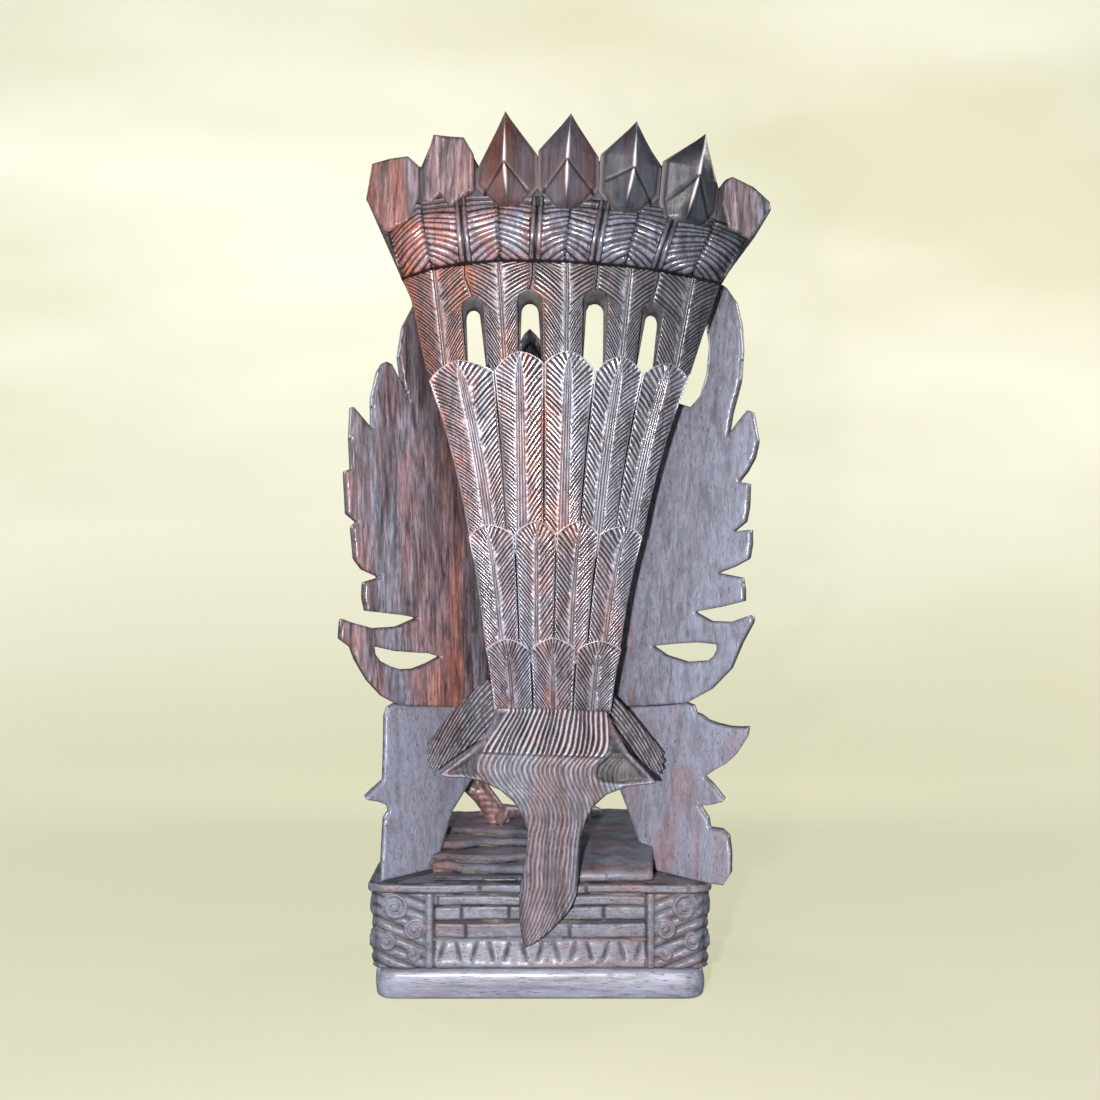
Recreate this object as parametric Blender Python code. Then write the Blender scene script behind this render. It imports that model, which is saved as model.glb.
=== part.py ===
"""Carved hardwood guardian bird on a brick-pattern base, with an upright fan tail and spread wings.

Millimetres are used throughout and become metres through MM. +Z is up, the origin is the middle of the
plinth's underside, and the carved fan tail faces -Y, so the bird looks along +Y. The flat carvings (fan,
wings, sash, leg screens) are each an outline in the rear elevation (x, z), given a depth y by a formula.
"""

import math

import bmesh
import bpy
from mathutils import Matrix, Vector

MM = 0.001
GAP = 0.3  # clearance between pieces that touch

# Base
PLINTH_SIZE = (149.0, 110.0, 13.5)
BASE_SIZE = (153.0, 110.0, 38.7)
BASE_TOP = PLINTH_SIZE[2] + GAP + BASE_SIZE[2]
REAR = -BASE_SIZE[1] / 2
RECESS = 3.0
CORNER_WIDTH = 30.0
MOUND_HEIGHT = 12.0
MOUND_BATTER = 0.9  # size of the mound's top against its foot

# Figure
AXIS_X = 4.0  # the bird stands a little to the right of the base's middle
BODY_Y = 8.0
BODY_DEPTH_RATIO = 0.85
NECK_Z = 226.0
RUMP = (-20.0, 28.0, -44.0, -8.0, 104.0, 126.0)  # x, x, y, y, z, z

# Boards: wings and leg screens sweep towards the rear as they go outwards
WING_ROOT = 20.0  # distance of the wing's root from the bird's axis
WING_SWEEP = 0.81
WING_LEAN = 0.05
WING_THICK = 8.5
SCREEN_SWEEP = 1.15
SCREEN_EDGE_X = 75.0
SCREEN_THICK = 11.0

# Tail fan: rear surface's depth by height, and how much it is bowed across
FAN_PROFILE = ((100, -43), (127, -43), (129, -45.5), (160, -53), (210, -61), (260, -69), (300, -77),
               (322, -84), (334, -92), (345, -87), (355, -84), (400, -82))
FAN_FRONT = ((100, -36.5), (127, -36.5), (210, -51), (260, -59), (300, -66), (322, -70), (345, -71),
             (400, -74))
FAN_BOW = 0.0018
FAN_CENTRE_X = 6.0

# Sash hanging from the rump: rear surface's depth by height
SASH_PROFILE = ((20, -62), (60, -63.5), (104, -65), (112, -64), (129, -47))
SASH_THICK = 5.5
FLAP_SLOPE = 0.42
FLAP_THICK = 5.0

# Joinery
BASE_DOWEL = (4.0, 30.0, 4.0)  # z, z, radius
PIN_RADIUS = 1.5
DOWEL_RADIUS = 2.0
TONGUE = (150.0, 192.0)  # z, z of the wings' tongues
TONGUE_PINS = {"lower": 160.0, "upper": 182.0}
PIN_OFFSET = 15.5  # distance of the tongue pins from the bird's axis
SCREEN_DOWEL_REACH = 8.6
TAIL_TENON = (5.0, -39.5, 22.0, 11.0)  # x, y, width, depth
TAIL_PIN_Z = 120.0
SASH_DOWEL_Z = 108.5

# Legs: rear and front depth at z = 100, and how much they splay below it
LEG_DEPTHS = (12.0, 26.0)
LEG_SPLAY = (0.12, 0.06)
TOE = (3.4, 3.6, 2.6)  # half width, half height, height of the middle over the rock

WOOD = {  # material: colour, roughness
    "dark_rosewood": ((0.075, 0.052, 0.047), 0.42),
    "brown_rosewood": ((0.120, 0.062, 0.044), 0.45),
    "bamboo": ((0.42, 0.29, 0.14), 0.6),
}


def clear_scene():
    for obj in list(bpy.data.objects):
        bpy.data.objects.remove(obj, do_unlink=True)


def collection(name):
    made = bpy.data.collections.new(name)
    bpy.context.scene.collection.children.link(made)
    return made


def wood(name):
    """A Principled material in one of the carving's woods."""
    material = bpy.data.materials.get(name)
    if material is None:
        colour, roughness = WOOD[name]
        material = bpy.data.materials.new(name)
        material.use_nodes = True
        shader = material.node_tree.nodes["Principled BSDF"]
        shader.inputs["Base Color"].default_value = (*colour, 1.0)
        shader.inputs["Roughness"].default_value = roughness
        shader.inputs["Metallic"].default_value = 0.0
    return material


def interpolate(value, table):
    """Straight-line interpolation in a table of (value, result), held at its ends."""
    if value <= table[0][0]:
        return table[0][1]
    for (low, first), (high, second) in zip(table, table[1:]):
        if value <= high:
            return first + (second - first) * (value - low) / (high - low)
    return table[-1][1]


def add_part(name, bm, material, where=None):
    """Makes the bmesh, in millimetres, an object in metres."""
    bmesh.ops.scale(bm, vec=(MM, MM, MM), verts=bm.verts)
    bmesh.ops.recalc_face_normals(bm, faces=bm.faces)
    mesh = bpy.data.meshes.new(name)
    bm.to_mesh(mesh)
    bm.free()
    obj = bpy.data.objects.new(name, mesh)
    mesh.materials.append(wood(material))
    (where or PARTS).objects.link(obj)
    mesh.shade_smooth()
    mesh.set_sharp_from_angle(angle=math.radians(35))
    return obj


def add_cutter(name, bm):
    obj = add_part(name, bm, "bamboo", CUTTERS)
    obj.hide_render = True
    obj.display_type = "WIRE"
    return obj


def boolean(obj, other, operation="DIFFERENCE"):
    modifier = obj.modifiers.new(operation.lower() + "_" + other.name, "BOOLEAN")
    modifier.operation = operation
    modifier.object = other


def block(size, low_centre, corner=0.0, edge=0.0):
    """A box standing on low_centre, with its upright corners and then its level edges rounded."""
    bm = bmesh.new()
    bmesh.ops.create_cube(bm, size=1.0)
    bmesh.ops.scale(bm, vec=size, verts=bm.verts)
    bmesh.ops.translate(bm, vec=(low_centre[0], low_centre[1], low_centre[2] + size[2] / 2), verts=bm.verts)
    if corner:
        upright = [e for e in bm.edges if abs(e.verts[0].co.z - e.verts[1].co.z) > size[2] / 2]
        bmesh.ops.bevel(bm, geom=upright, offset=corner, segments=4, profile=0.5, affect="EDGES")
    if edge:
        level = [e for e in bm.edges
                 if abs(e.verts[0].co.z - e.verts[1].co.z) < 0.01 and len(e.link_faces) == 2
                 and abs(e.link_faces[0].normal.z - e.link_faces[1].normal.z) > 0.5]
        bmesh.ops.bevel(bm, geom=level, offset=edge, segments=2, profile=0.5, affect="EDGES")
    return bm


def rod(start, end, radius, sides=12):
    """A cylinder between two points."""
    start, end = Vector(start), Vector(end)
    bm = bmesh.new()
    turn = (end - start).to_track_quat("Z", "Y").to_matrix().to_4x4()
    place = Matrix.Translation((start + end) / 2) @ turn
    bmesh.ops.create_cone(bm, cap_ends=True, segments=sides, radius1=radius, radius2=radius,
                          depth=(end - start).length, matrix=place)
    return bm


def ball(centre, radii, sides=20, rings=12):
    """An ellipsoid."""
    bm = bmesh.new()
    place = Matrix.Translation(centre) @ Matrix.Diagonal((*radii, 1.0))
    bmesh.ops.create_uvsphere(bm, u_segments=sides, v_segments=rings, radius=1.0, matrix=place)
    return bm


def mesh_of_curve(name, curve):
    """The curve's evaluated mesh."""
    obj = bpy.data.objects.new(name, curve)
    bpy.context.scene.collection.objects.link(obj)
    bpy.context.view_layer.update()
    mesh = bpy.data.meshes.new_from_object(obj.evaluated_get(bpy.context.evaluated_depsgraph_get()))
    bpy.data.objects.remove(obj, do_unlink=True)
    return mesh


def flat_plate(outline, holes=()):
    """A plate 1 mm thick about the XY plane, as a bmesh with welded edges."""
    curve = bpy.data.curves.new("outline", "CURVE")
    curve.dimensions = "2D"
    curve.fill_mode = "BOTH"
    curve.extrude = 0.5
    for ring in (outline, *holes):
        spline = curve.splines.new("POLY")
        spline.points.add(len(ring) - 1)
        for point, (x, y) in zip(spline.points, ring):
            point.co = (x, y, 0.0, 1.0)
        spline.use_cyclic_u = True
    bm = bmesh.new()
    bm.from_mesh(mesh_of_curve("outline", curve))
    bmesh.ops.remove_doubles(bm, verts=bm.verts, dist=0.001)
    return bm


def board(outline, rear, front, holes=(), cuts_x=(), cuts_z=()):
    """A carved board: the outline in rear elevation, from depth rear(x, z) to depth front(x, z).

    It is cut into strips at cuts_x and cuts_z first, so that it can follow a bent surface.
    """
    bm = flat_plate(outline, holes)
    for place, across in [(x, 0) for x in cuts_x] + [(z, 1) for z in cuts_z]:
        point, normal = Vector((0, 0, 0)), Vector((0, 0, 0))
        point[across], normal[across] = place, 1.0
        bmesh.ops.bisect_plane(bm, geom=[*bm.verts, *bm.edges, *bm.faces], plane_co=point, plane_no=normal)
    for vert in bm.verts:
        x, z, side = vert.co
        vert.co = (x, rear(x, z) if side < 0 else front(x, z), z)
    bmesh.ops.triangulate(bm, faces=bm.faces)
    return bm


def horn(points):
    """A tapering curved horn through (x, y, z, radius) points, as a mesh with welded caps."""
    curve = bpy.data.curves.new("horn", "CURVE")
    curve.dimensions = "3D"
    curve.bevel_depth = 1.0
    curve.bevel_resolution = 4
    curve.resolution_u = 4
    curve.use_fill_caps = True
    spline = curve.splines.new("BEZIER")
    spline.bezier_points.add(len(points) - 1)
    for knot, (x, y, z, radius) in zip(spline.bezier_points, points):
        knot.co = (x, y, z)
        knot.handle_left_type = knot.handle_right_type = "AUTO"
        knot.radius = radius
    bm = bmesh.new()
    bm.from_mesh(mesh_of_curve("horn", curve))
    bmesh.ops.remove_doubles(bm, verts=bm.verts, dist=0.01)
    return bm


# ---------------------------------------------------------------- base: plinth, brick block, rock mound


def dowel_places():
    """Two dowels join the plinth to the brick block, either side of its middle."""
    return ((-40.0, 0.0), (40.0, 0.0))


def make_base():
    plinth = add_part("plinth", block(PLINTH_SIZE, (0, 0, 0), corner=9, edge=3), "dark_rosewood")
    block_low = PLINTH_SIZE[2] + GAP
    brick = add_part("brick_block", block(BASE_SIZE, (0, 0, block_low), corner=7, edge=1), "dark_rosewood")
    for side, (x, y, length, depth) in {
        "rear": (0, REAR, BASE_SIZE[0] - 2 * CORNER_WIDTH, 2 * RECESS),
        "front": (0, -REAR, BASE_SIZE[0] - 2 * CORNER_WIDTH, 2 * RECESS),
        "left": (-BASE_SIZE[0] / 2, 0, 2 * RECESS, BASE_SIZE[1] - 2 * CORNER_WIDTH),
        "right": (BASE_SIZE[0] / 2, 0, 2 * RECESS, BASE_SIZE[1] - 2 * CORNER_WIDTH),
    }.items():
        recess = block((length, depth, BASE_SIZE[2] - 14), (x, y, block_low - 4))
        boolean(brick, add_cutter("recess_" + side, recess))
    low, high, radius = BASE_DOWEL
    for side, (x, y) in zip(("left", "right"), dowel_places()):
        hole = add_cutter("dowel_hole_" + side, rod((x, y, low - GAP), (x, y, high + GAP), radius + GAP))
        boolean(plinth, hole)
        boolean(brick, hole)
        add_part("base_dowel_" + side, rod((x, y, low), (x, y, high), radius), "bamboo")


def mound_outline():
    """The rock's plan: it stops short of the rear corners, where the leg screens stand."""
    return ((-36, REAR + 8), (36, REAR + 8), (46, -24), (49, -15), (64, -6), (66, 40), (52, 49), (-52, 49),
            (-66, 40), (-64, -6), (-48, -15), (-45, -24))


def make_mound():
    """A rock mound whose sides batter inwards."""
    bm = flat_plate(mound_outline())
    for vert in bm.verts:
        x, y, side = vert.co
        if side > 0:
            vert.co = (x * MOUND_BATTER, y * MOUND_BATTER, BASE_TOP + GAP + MOUND_HEIGHT)
        else:
            vert.co.z = BASE_TOP + GAP
    return add_part("rock_mound", bm, "dark_rosewood")


# ---------------------------------------------------------------- figure: body, head, legs


def body_profile():
    """(height, radius) of the turned body, from under the belly to the neck."""
    return ((98, 10), (104, 17), (114, 24), (130, 26), (150, 24), (172, 26), (192, 28), (206, 25), (218, 17),
            (NECK_Z, 13))


def turned(profile, centre_x, centre_y, depth_ratio, sides=24):
    """A profile of (height, radius) spun about an upright axis, capped, and flattened front to back."""
    bm = bmesh.new()
    verts = [bm.verts.new((radius, 0, height)) for height, radius in profile]
    edges = [bm.edges.new(pair) for pair in zip(verts, verts[1:])]
    bmesh.ops.spin(bm, geom=[*verts, *edges], cent=(0, 0, 0), axis=(0, 0, 1), angle=2 * math.pi,
                   steps=sides, use_merge=True)
    bmesh.ops.remove_doubles(bm, verts=bm.verts, dist=0.001)
    bmesh.ops.holes_fill(bm, edges=bm.edges, sides=sides)
    bmesh.ops.scale(bm, vec=(1, depth_ratio, 1), verts=bm.verts)
    bmesh.ops.translate(bm, vec=(centre_x, centre_y, 0), verts=bm.verts)
    return bm


def wing_rear(x, z):
    return -7 - (abs(x - AXIS_X) - WING_ROOT) * WING_SWEEP + (z - 130) * WING_LEAN


def make_body(slots, holes):
    """The body block: turned body and square rump, with sockets for the wings, the tail and the legs."""
    body = add_part("body", turned(body_profile(), AXIS_X, BODY_Y, BODY_DEPTH_RATIO), "brown_rosewood")
    x0, x1, y0, y1, z0, z1 = RUMP
    rump = block((x1 - x0, y1 - y0, z1 - z0), ((x0 + x1) / 2, (y0 + y1) / 2, z0))
    boolean(body, add_cutter("rump", rump), "UNION")
    for cutter in (*slots, *holes):
        boolean(body, cutter)
    return body


def make_head():
    """Head with a hooked beak, and the flame-shaped crest whose point shows between the tail's ribs."""
    head = add_part("head", ball((AXIS_X, 17, 241), (17, 20, 16)), "brown_rosewood")
    neck = add_cutter("neck_stub", turned(((NECK_Z + GAP, 12.5), (236, 12)), AXIS_X, 11, 0.9))
    boolean(head, neck, "UNION")
    beak = horn(((AXIS_X, 30, 244, 9), (AXIS_X, 42, 243, 7), (AXIS_X, 51, 236, 3.6),
                 (AXIS_X, 52, 227, 1.0)))
    boolean(head, add_cutter("beak", beak), "UNION")
    below = block((60, 60, 30), (AXIS_X, 20, NECK_Z + GAP - 30))
    boolean(head, add_cutter("neck_plane", below))
    socket_top = 251.0
    flame = horn(((AXIS_X, 13, socket_top, 8), (AXIS_X, 13, 264, 11), (AXIS_X - 2, 13, 282, 9),
                  (AXIS_X - 6, 14, 298, 4.5), (AXIS_X - 9.5, 15, 311, 0.8)))
    crest = add_part("crest", flame, "dark_rosewood")
    seat = add_cutter("crest_seat", rod((AXIS_X, 13, socket_top - GAP), (AXIS_X, 13, 300), 12.5, sides=20))
    boolean(head, seat)


def leg(name, outline, toes):
    """A bent leg, flat-carved from the outline, with toes that spread from its ankle over the rock."""
    rear, front = [lambda x, z, depth=depth, splay=splay: depth + splay * (100 - z)
                   for depth, splay in zip(LEG_DEPTHS, LEG_SPLAY)]
    obj = add_part(name, board(outline, rear, front), "brown_rosewood")
    floor = BASE_TOP + GAP + MOUND_HEIGHT
    ankle = [x for x, z in outline if z < floor + 4]
    ankle_x, ankle_y = sum(ankle) / len(ankle), 22.0
    half_width, half_height, rise = TOE
    for index, (dx, dy) in enumerate(toes):
        bm = bmesh.new()
        turn = math.atan2(dx, dy)
        place = (Matrix.Translation((ankle_x + dx / 2, ankle_y + dy / 2, floor + rise))
                 @ Matrix.Rotation(-turn, 4, "Z")
                 @ Matrix.Diagonal((half_width, math.hypot(dx, dy) / 2 + 3, half_height, 1.0)))
        bmesh.ops.create_uvsphere(bm, u_segments=10, v_segments=7, radius=1.0, matrix=place)
        boolean(obj, add_cutter("%s_toe_%d" % (name, index), bm), "UNION")
    sole = block((150, 120, 12), (0, 10, floor + GAP - 12))
    boolean(obj, add_cutter(name + "_sole", sole))
    return obj


def make_legs(body_clear):
    """The left leg's knee is out and its shin crosses in; the right leg stands under the body."""
    foot = BASE_TOP + 2 * GAP + MOUND_HEIGHT
    left = ((-26, foot), (-29, 71), (-34, 77), (-42, 85), (-48, 94), (-46, 102), (-40, 108), (-28, 110), (-16, 114),
            (-10, 114), (-10, 100), (-20, 97), (-28, 87), (-20, 76), (-14, foot))
    right = ((15, foot), (15, 72), (17, 82), (14, 100), (14, 114), (24, 114), (34, 108), (37, 99), (34, 90),
             (26, 80), (25, 72), (25, foot))
    for obj in (leg("left_leg", left, ((-13, 15), (-2, 19), (10, 15), (0, -15))),
                leg("right_leg", right, ((-10, 15), (2, 19), (13, 15), (0, -15)))):
        boolean(obj, body_clear)


# ---------------------------------------------------------------- wings


def left_wing_outline():
    return ((-16, 126), (-67, 132), (-73, 136), (-79, 143.5), (-84, 153), (-86, 159), (-90, 163), (-90, 172),
            (-86, 170), (-77, 167), (-67, 167), (-58, 171), (-65, 173), (-80, 175), (-81, 187), (-74, 190),
            (-82, 194), (-85, 199), (-86, 213), (-83, 215), (-88, 219), (-89, 238), (-86, 240), (-87, 253),
            (-86, 267), (-77, 257), (-77, 272), (-73, 288), (-69, 287), (-62, 270), (-66, 280), (-67, 292),
            (-65, 307), (-59, 320), (-46, 332), (-44, 318), (-40, 295), (-34, 270), (-28, 240), (-22, 215),
            (-16, 205), (-16, 192), (-9, 192), (-9, 150), (-16, 150))


def left_wing_hole():
    return ((-77, 159), (-75, 154), (-70, 149), (-60, 147), (-49, 152), (-60, 155))


def right_wing_outline():
    return ((24, 126), (24, 150), (17, 150), (17, 192), (24, 192), (24, 205), (30, 215), (38, 240), (46, 260),
            (56, 270), (66, 271), (71.6, 268.6), (75.4, 273), (78.4, 283), (79.6, 296), (78.4, 306), (74, 314),
            (66, 322), (54, 332), (72, 330),
            (86, 323), (91, 310), (93, 293), (92, 279), (88, 264), (87, 254), (95, 265), (98, 262), (99, 251),
            (97, 243), (91, 233), (95, 232), (94, 216), (89, 211), (96, 211), (95, 199), (82, 192), (92, 190),
            (93, 180), (72, 174), (79, 170), (88, 170), (97, 174), (96, 169), (92, 161), (87, 149), (79, 139),
            (69, 132))


def right_wing_hole():
    return ((54, 157), (82, 159), (82, 156), (78, 152), (69, 150), (61, 152))


def wing_front(x, z):
    return wing_rear(x, z) + WING_THICK


def clear_of(depth, gap):
    """The depth function moved by gap."""
    return lambda x, z: depth(x, z) + gap


def make_wings():
    """Two boards whose tongues slide into slots in the body's rear quarters. Returns the slot cutters."""
    slots = []
    for name, outline, hole, root in (
        ("left_wing", left_wing_outline(), left_wing_hole(), -1),
        ("right_wing", right_wing_outline(), right_wing_hole(), 1),
    ):
        steps = [AXIS_X + root * distance for distance in (30, 45, 60, 75)]
        bm = board(outline, wing_rear, wing_front, [hole], steps, (160, 200, 240, 280))
        add_part(name, bm, "dark_rosewood")
        inner, outer = AXIS_X + root * (13 - GAP), AXIS_X + root * 34
        shoulder = AXIS_X + root * (WING_ROOT - GAP)
        low, high = TONGUE[0] - GAP, TONGUE[1] + GAP
        slot = ((inner, low), (inner, high), (shoulder, high), (shoulder, 205), (shoulder, 230),
                (outer, 230), (outer, 122), (shoulder, 122), (shoulder, low))
        cutter = board(slot, clear_of(wing_rear, -GAP), clear_of(wing_front, GAP))
        slots.append(add_cutter(name + "_slot", cutter))
    return slots


def make_wing_pins():
    """Two bamboo pins a side, driven from the rear through the body and the wing's tongue."""
    holes = []
    for side, root in (("left", -1), ("right", 1)):
        for level, z in TONGUE_PINS.items():
            x = AXIS_X + root * PIN_OFFSET
            hole = add_cutter("%s_wing_%s_pin_hole" % (side, level),
                              rod((x, -20, z), (x, 14 + GAP, z), PIN_RADIUS + GAP, 10))
            boolean(bpy.data.objects[side + "_wing"], hole)
            holes.append(hole)
            add_part("%s_wing_%s_pin" % (side, level), rod((x, -5, z), (x, 14, z), PIN_RADIUS, 10), "bamboo")
    return holes


# ---------------------------------------------------------------- leg screens


def screen_rear(x, z):
    return REAR - (abs(x) - SCREEN_EDGE_X) * SCREEN_SWEEP


def screen_front(x, z):
    return screen_rear(x, z) + SCREEN_THICK


def left_screen_outline():
    low = BASE_TOP + GAP
    return ((-27, 120), (-33, 95), (-44, 78), (-51, low), (-73, low), (-72, 80), (-70, 83), (-71, 87), (-80, 91),
            (-76, 95), (-72, 98), (-72, 127), (-69, 131.5), (-66, 131.2), (-27, 126))


def right_screen_outline():
    low = BASE_TOP + GAP
    return ((33, 120), (37, 95), (43, 80), (52, low), (83, 53), (86, 59), (85.5, 75), (82.5, 77), (78, 77.5),
            (77, 82), (73.5, 87), (84, 91), (79, 97), (76, 100), (80, 104), (88, 112), (92, 120), (93, 125),
            (86, 124), (77, 125.5), (72, 129), (70, 131.5), (33, 126))


def make_screens():
    """Flame-edged boards either side of the legs. Each stands on the block on two dowels, under a wing."""
    for side, outline, dowels in (
        ("left", left_screen_outline(), (-68.0, -57.0)),
        ("right", right_screen_outline(), (57.0, 68.0)),
    ):
        screen = add_part(side + "_leg_screen", board(outline, screen_rear, screen_front), "dark_rosewood")
        for place, x in zip(("outer", "inner") if side == "left" else ("inner", "outer"), dowels):
            y = screen_rear(x, 0) + SCREEN_THICK / 2
            name = "%s_screen_%s_dowel" % (side, place)
            low, high = BASE_TOP - 8, BASE_TOP + SCREEN_DOWEL_REACH
            hole = add_cutter(name + "_hole", rod((x, y, low - GAP), (x, y, high + GAP), PIN_RADIUS + GAP, 10))
            boolean(screen, hole)
            boolean(bpy.data.objects["brick_block"], hole)
            add_part(name, rod((x, y, low), (x, y, high), PIN_RADIUS, 10), "bamboo")


# ---------------------------------------------------------------- tail fan


def fan_rear(x, z):
    return interpolate(z, FAN_PROFILE) + FAN_BOW * (x - FAN_CENTRE_X) ** 2


def fan_front(x, z):
    return interpolate(z, FAN_FRONT) + FAN_BOW * (x - FAN_CENTRE_X) ** 2


def fan_outline():
    """Up the left edge, along the seven feather tips (three of them broken flat), and down the right edge."""
    return ((-6, 128), (-21.5, 128), (-25, 161), (-29.5, 205), (-37.5, 238), (-48, 275), (-50, 290), (-55, 312),
            (-59, 323), (-68, 340), (-77, 358), (-75, 374), (-58, 376), (-53, 369), (-50, 378), (-45, 385),
            (-32, 382), (-26, 371), (-15, 391.5), (-1, 371), (13, 390), (26, 370), (41, 388), (50, 371),
            (72, 385.5), (77, 367), (80, 363), (84, 370), (94, 365), (98, 361), (105, 359), (103, 352),
            (93, 338), (84, 326),
            (76.5, 311), (72, 294), (68, 276), (52, 225), (47, 204), (38, 161), (33, 128), (16, 128),
            (16, 114), (-6, 114))


def fan_slots():
    """Four arched openings between the feather ribs."""
    slots = []
    for left, right, low, high in ((-31.5, -23.5, 282, 309), (-8.5, 1.5, 282, 310), (18.5, 27, 281, 308),
                                   (42, 49.5, 280, 304)):
        middle, radius = (left + right) / 2, (right - left) / 2
        arch = [(middle + radius * math.cos(math.pi * i / 5), high - radius + radius * math.sin(math.pi * i / 5))
                for i in range(6)]
        slots.append(((left, low), (right, low), *arch))
    return slots


def make_fan():
    """The upright tail, one board with a tenon at its foot. Returns the mortise and pin-hole cutters."""
    heights = [z for z, _ in FAN_PROFILE[1:-1]]
    bm = board(fan_outline(), fan_rear, fan_front, fan_slots(), (-60, -40, -15, 6, 34, 57, 80), heights)
    fan = add_part("tail_fan", bm, "brown_rosewood")
    x, y, width, depth = TAIL_TENON
    mortise = block((width + 2 * GAP, depth, 30), (x, y, 114 - GAP))
    z, radius = TAIL_PIN_Z, DOWEL_RADIUS
    pin_hole = add_cutter("tail_pin_hole", rod((x, -45, z), (x, -22 + GAP, z), radius + GAP, 10))
    boolean(fan, pin_hole)
    add_part("tail_pin", rod((x, -43.5, z), (x, -22, z), radius, 10), "bamboo")
    return [add_cutter("tail_mortise", mortise), pin_hole]


# ---------------------------------------------------------------- sash and its side flaps


def sash_rear(x, z):
    return interpolate(z, SASH_PROFILE)


def sash_front(x, z):
    """Solid back to the rump behind it, and a thin leaf where it hangs clear of the base."""
    thin = sash_rear(x, z) + SASH_THICK
    behind_rump = RUMP[2] - GAP
    inside = RUMP[0] < x < RUMP[1] and z > RUMP[4] - 1
    return behind_rump if inside else min(thin, behind_rump)


def sash_outline():
    return ((-18, 127.5), (-24.5, 113), (-45.5, 102), (-31, 101), (-21, 96), (-12.5, 86.5), (-7.5, 75),
            (-6.3, 66), (-8.8, 54), (-8.8, 38), (-7, 29), (-4.5, 25), (3, 29.5), (11.5, 39), (16.5, 49), (18, 60),
            (19.5, 71.5), (23, 84), (30, 93.5), (38, 98), (52, 100.5), (34.5, 113), (31.5, 127.5))


def make_sash():
    """The pointed sash that hangs over the base, doweled to the rump. Returns the dowel-hole cutter."""
    bm = board(sash_outline(), sash_rear, sash_front, (), (-19.5, -12.5, 4, 20, 27.5), (60, 104, 108, 112, 120))
    sash = add_part("rear_sash", bm, "dark_rosewood")
    x, z, radius = TAIL_TENON[0], SASH_DOWEL_Z, DOWEL_RADIUS
    hole = add_cutter("sash_dowel_hole", rod((x, -56 - GAP, z), (x, -30 + GAP, z), radius + GAP, 10))
    boolean(sash, hole)
    add_part("sash_dowel", rod((x, -56, z), (x, -30, z), radius, 10), "bamboo")
    return hole


def flap_rear(x, z):
    return -33.5 - FLAP_SLOPE * (137 - z)


def make_flaps():
    """Pleated flaps either side of the tail's foot, glued to the rump's cheeks."""
    for name, outline in (
        ("left_sash_flap", ((-20.4, 118), (-20.4, 124), (-22.2, 127.5), (-24.5, 136), (-36, 126.5),
                            (-46, 113.5), (-47, 103.5), (-31, 114))),
        ("right_sash_flap", ((28.4, 118), (28.4, 124), (33.8, 127.5), (36, 136), (46, 126.5), (56, 111),
                             (54, 102), (38, 113))),
    ):
        bm = board(outline, flap_rear, clear_of(flap_rear, FLAP_THICK))
        add_part(name, bm, "dark_rosewood")


# ---------------------------------------------------------------- assembly

clear_scene()
PARTS = collection("carved_guardian_bird")
CUTTERS = collection("cutters")

make_base()
make_mound()
wing_slots = make_wings()
pin_holes = make_wing_pins()
tail_holes = make_fan()
sash_hole = make_sash()
make_flaps()
body = make_body(wing_slots, [*pin_holes, *tail_holes, sash_hole])
make_head()
lowest_z, lowest_radius = body_profile()[0]
around_belly = [(lowest_z - GAP, lowest_radius + GAP)] + [(z, radius + 2 * GAP) for z, radius in body_profile()]
belly = add_cutter("belly_clearance", turned(around_belly, AXIS_X, BODY_Y, BODY_DEPTH_RATIO))
make_legs(belly)
make_screens()
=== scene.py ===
import math

import bmesh
import bpy
import numpy as np
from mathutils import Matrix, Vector


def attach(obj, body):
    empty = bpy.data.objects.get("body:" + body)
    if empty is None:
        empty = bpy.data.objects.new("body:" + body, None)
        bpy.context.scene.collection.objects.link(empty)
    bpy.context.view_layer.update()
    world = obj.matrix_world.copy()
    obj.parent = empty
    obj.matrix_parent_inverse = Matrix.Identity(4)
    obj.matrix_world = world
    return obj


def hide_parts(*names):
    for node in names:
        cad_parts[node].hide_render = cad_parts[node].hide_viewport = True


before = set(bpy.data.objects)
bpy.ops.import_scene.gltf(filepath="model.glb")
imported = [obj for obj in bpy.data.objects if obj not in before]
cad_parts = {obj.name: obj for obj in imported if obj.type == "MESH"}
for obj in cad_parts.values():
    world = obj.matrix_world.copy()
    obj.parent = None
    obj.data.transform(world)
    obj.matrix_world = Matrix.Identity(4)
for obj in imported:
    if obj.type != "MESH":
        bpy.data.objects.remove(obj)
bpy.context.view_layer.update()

MM = 0.001

# ------------------------------------------------------------------------------------------ plinth
# A plain board under the carving, sawn from the same dark hardwood, with hand-rounded corners
# and edges. It is doweled to the brick block, oiled and waxed, and left smooth.

PLINTH_LENGTH, PLINTH_DEPTH, PLINTH_HEIGHT = 149.0, 110.0, 13.5
PLINTH_CORNER = 9.0


def ripple(x, y, z, pitch, seed=0.0):
    """Smooth hand-tool unevenness from -1 to 1: the sum of five plane waves of about that pitch, in
    directions set by the seed, each of a slightly different length."""
    total = np.zeros(np.broadcast(x, y, z).shape)
    for i in range(5):
        a, b = 2.4 * i + seed, 1.7 * i + 2.1 * seed
        wave = 2 * math.pi / (pitch * (0.7 + 0.17 * i))
        total += np.sin(wave * (x * math.cos(a) * math.cos(b) + y * math.sin(a) * math.cos(b)
                                + z * math.sin(b)) + 3 * i + 5 * seed)
    return total / 3.2


def smooth_step(value, low, high):
    """0 below low, 1 above high, and 3t^2 - 2t^3 between them."""
    t = np.clip((value - low) / (high - low), 0.0, 1.0)
    return t * t * (3 - 2 * t)


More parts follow.
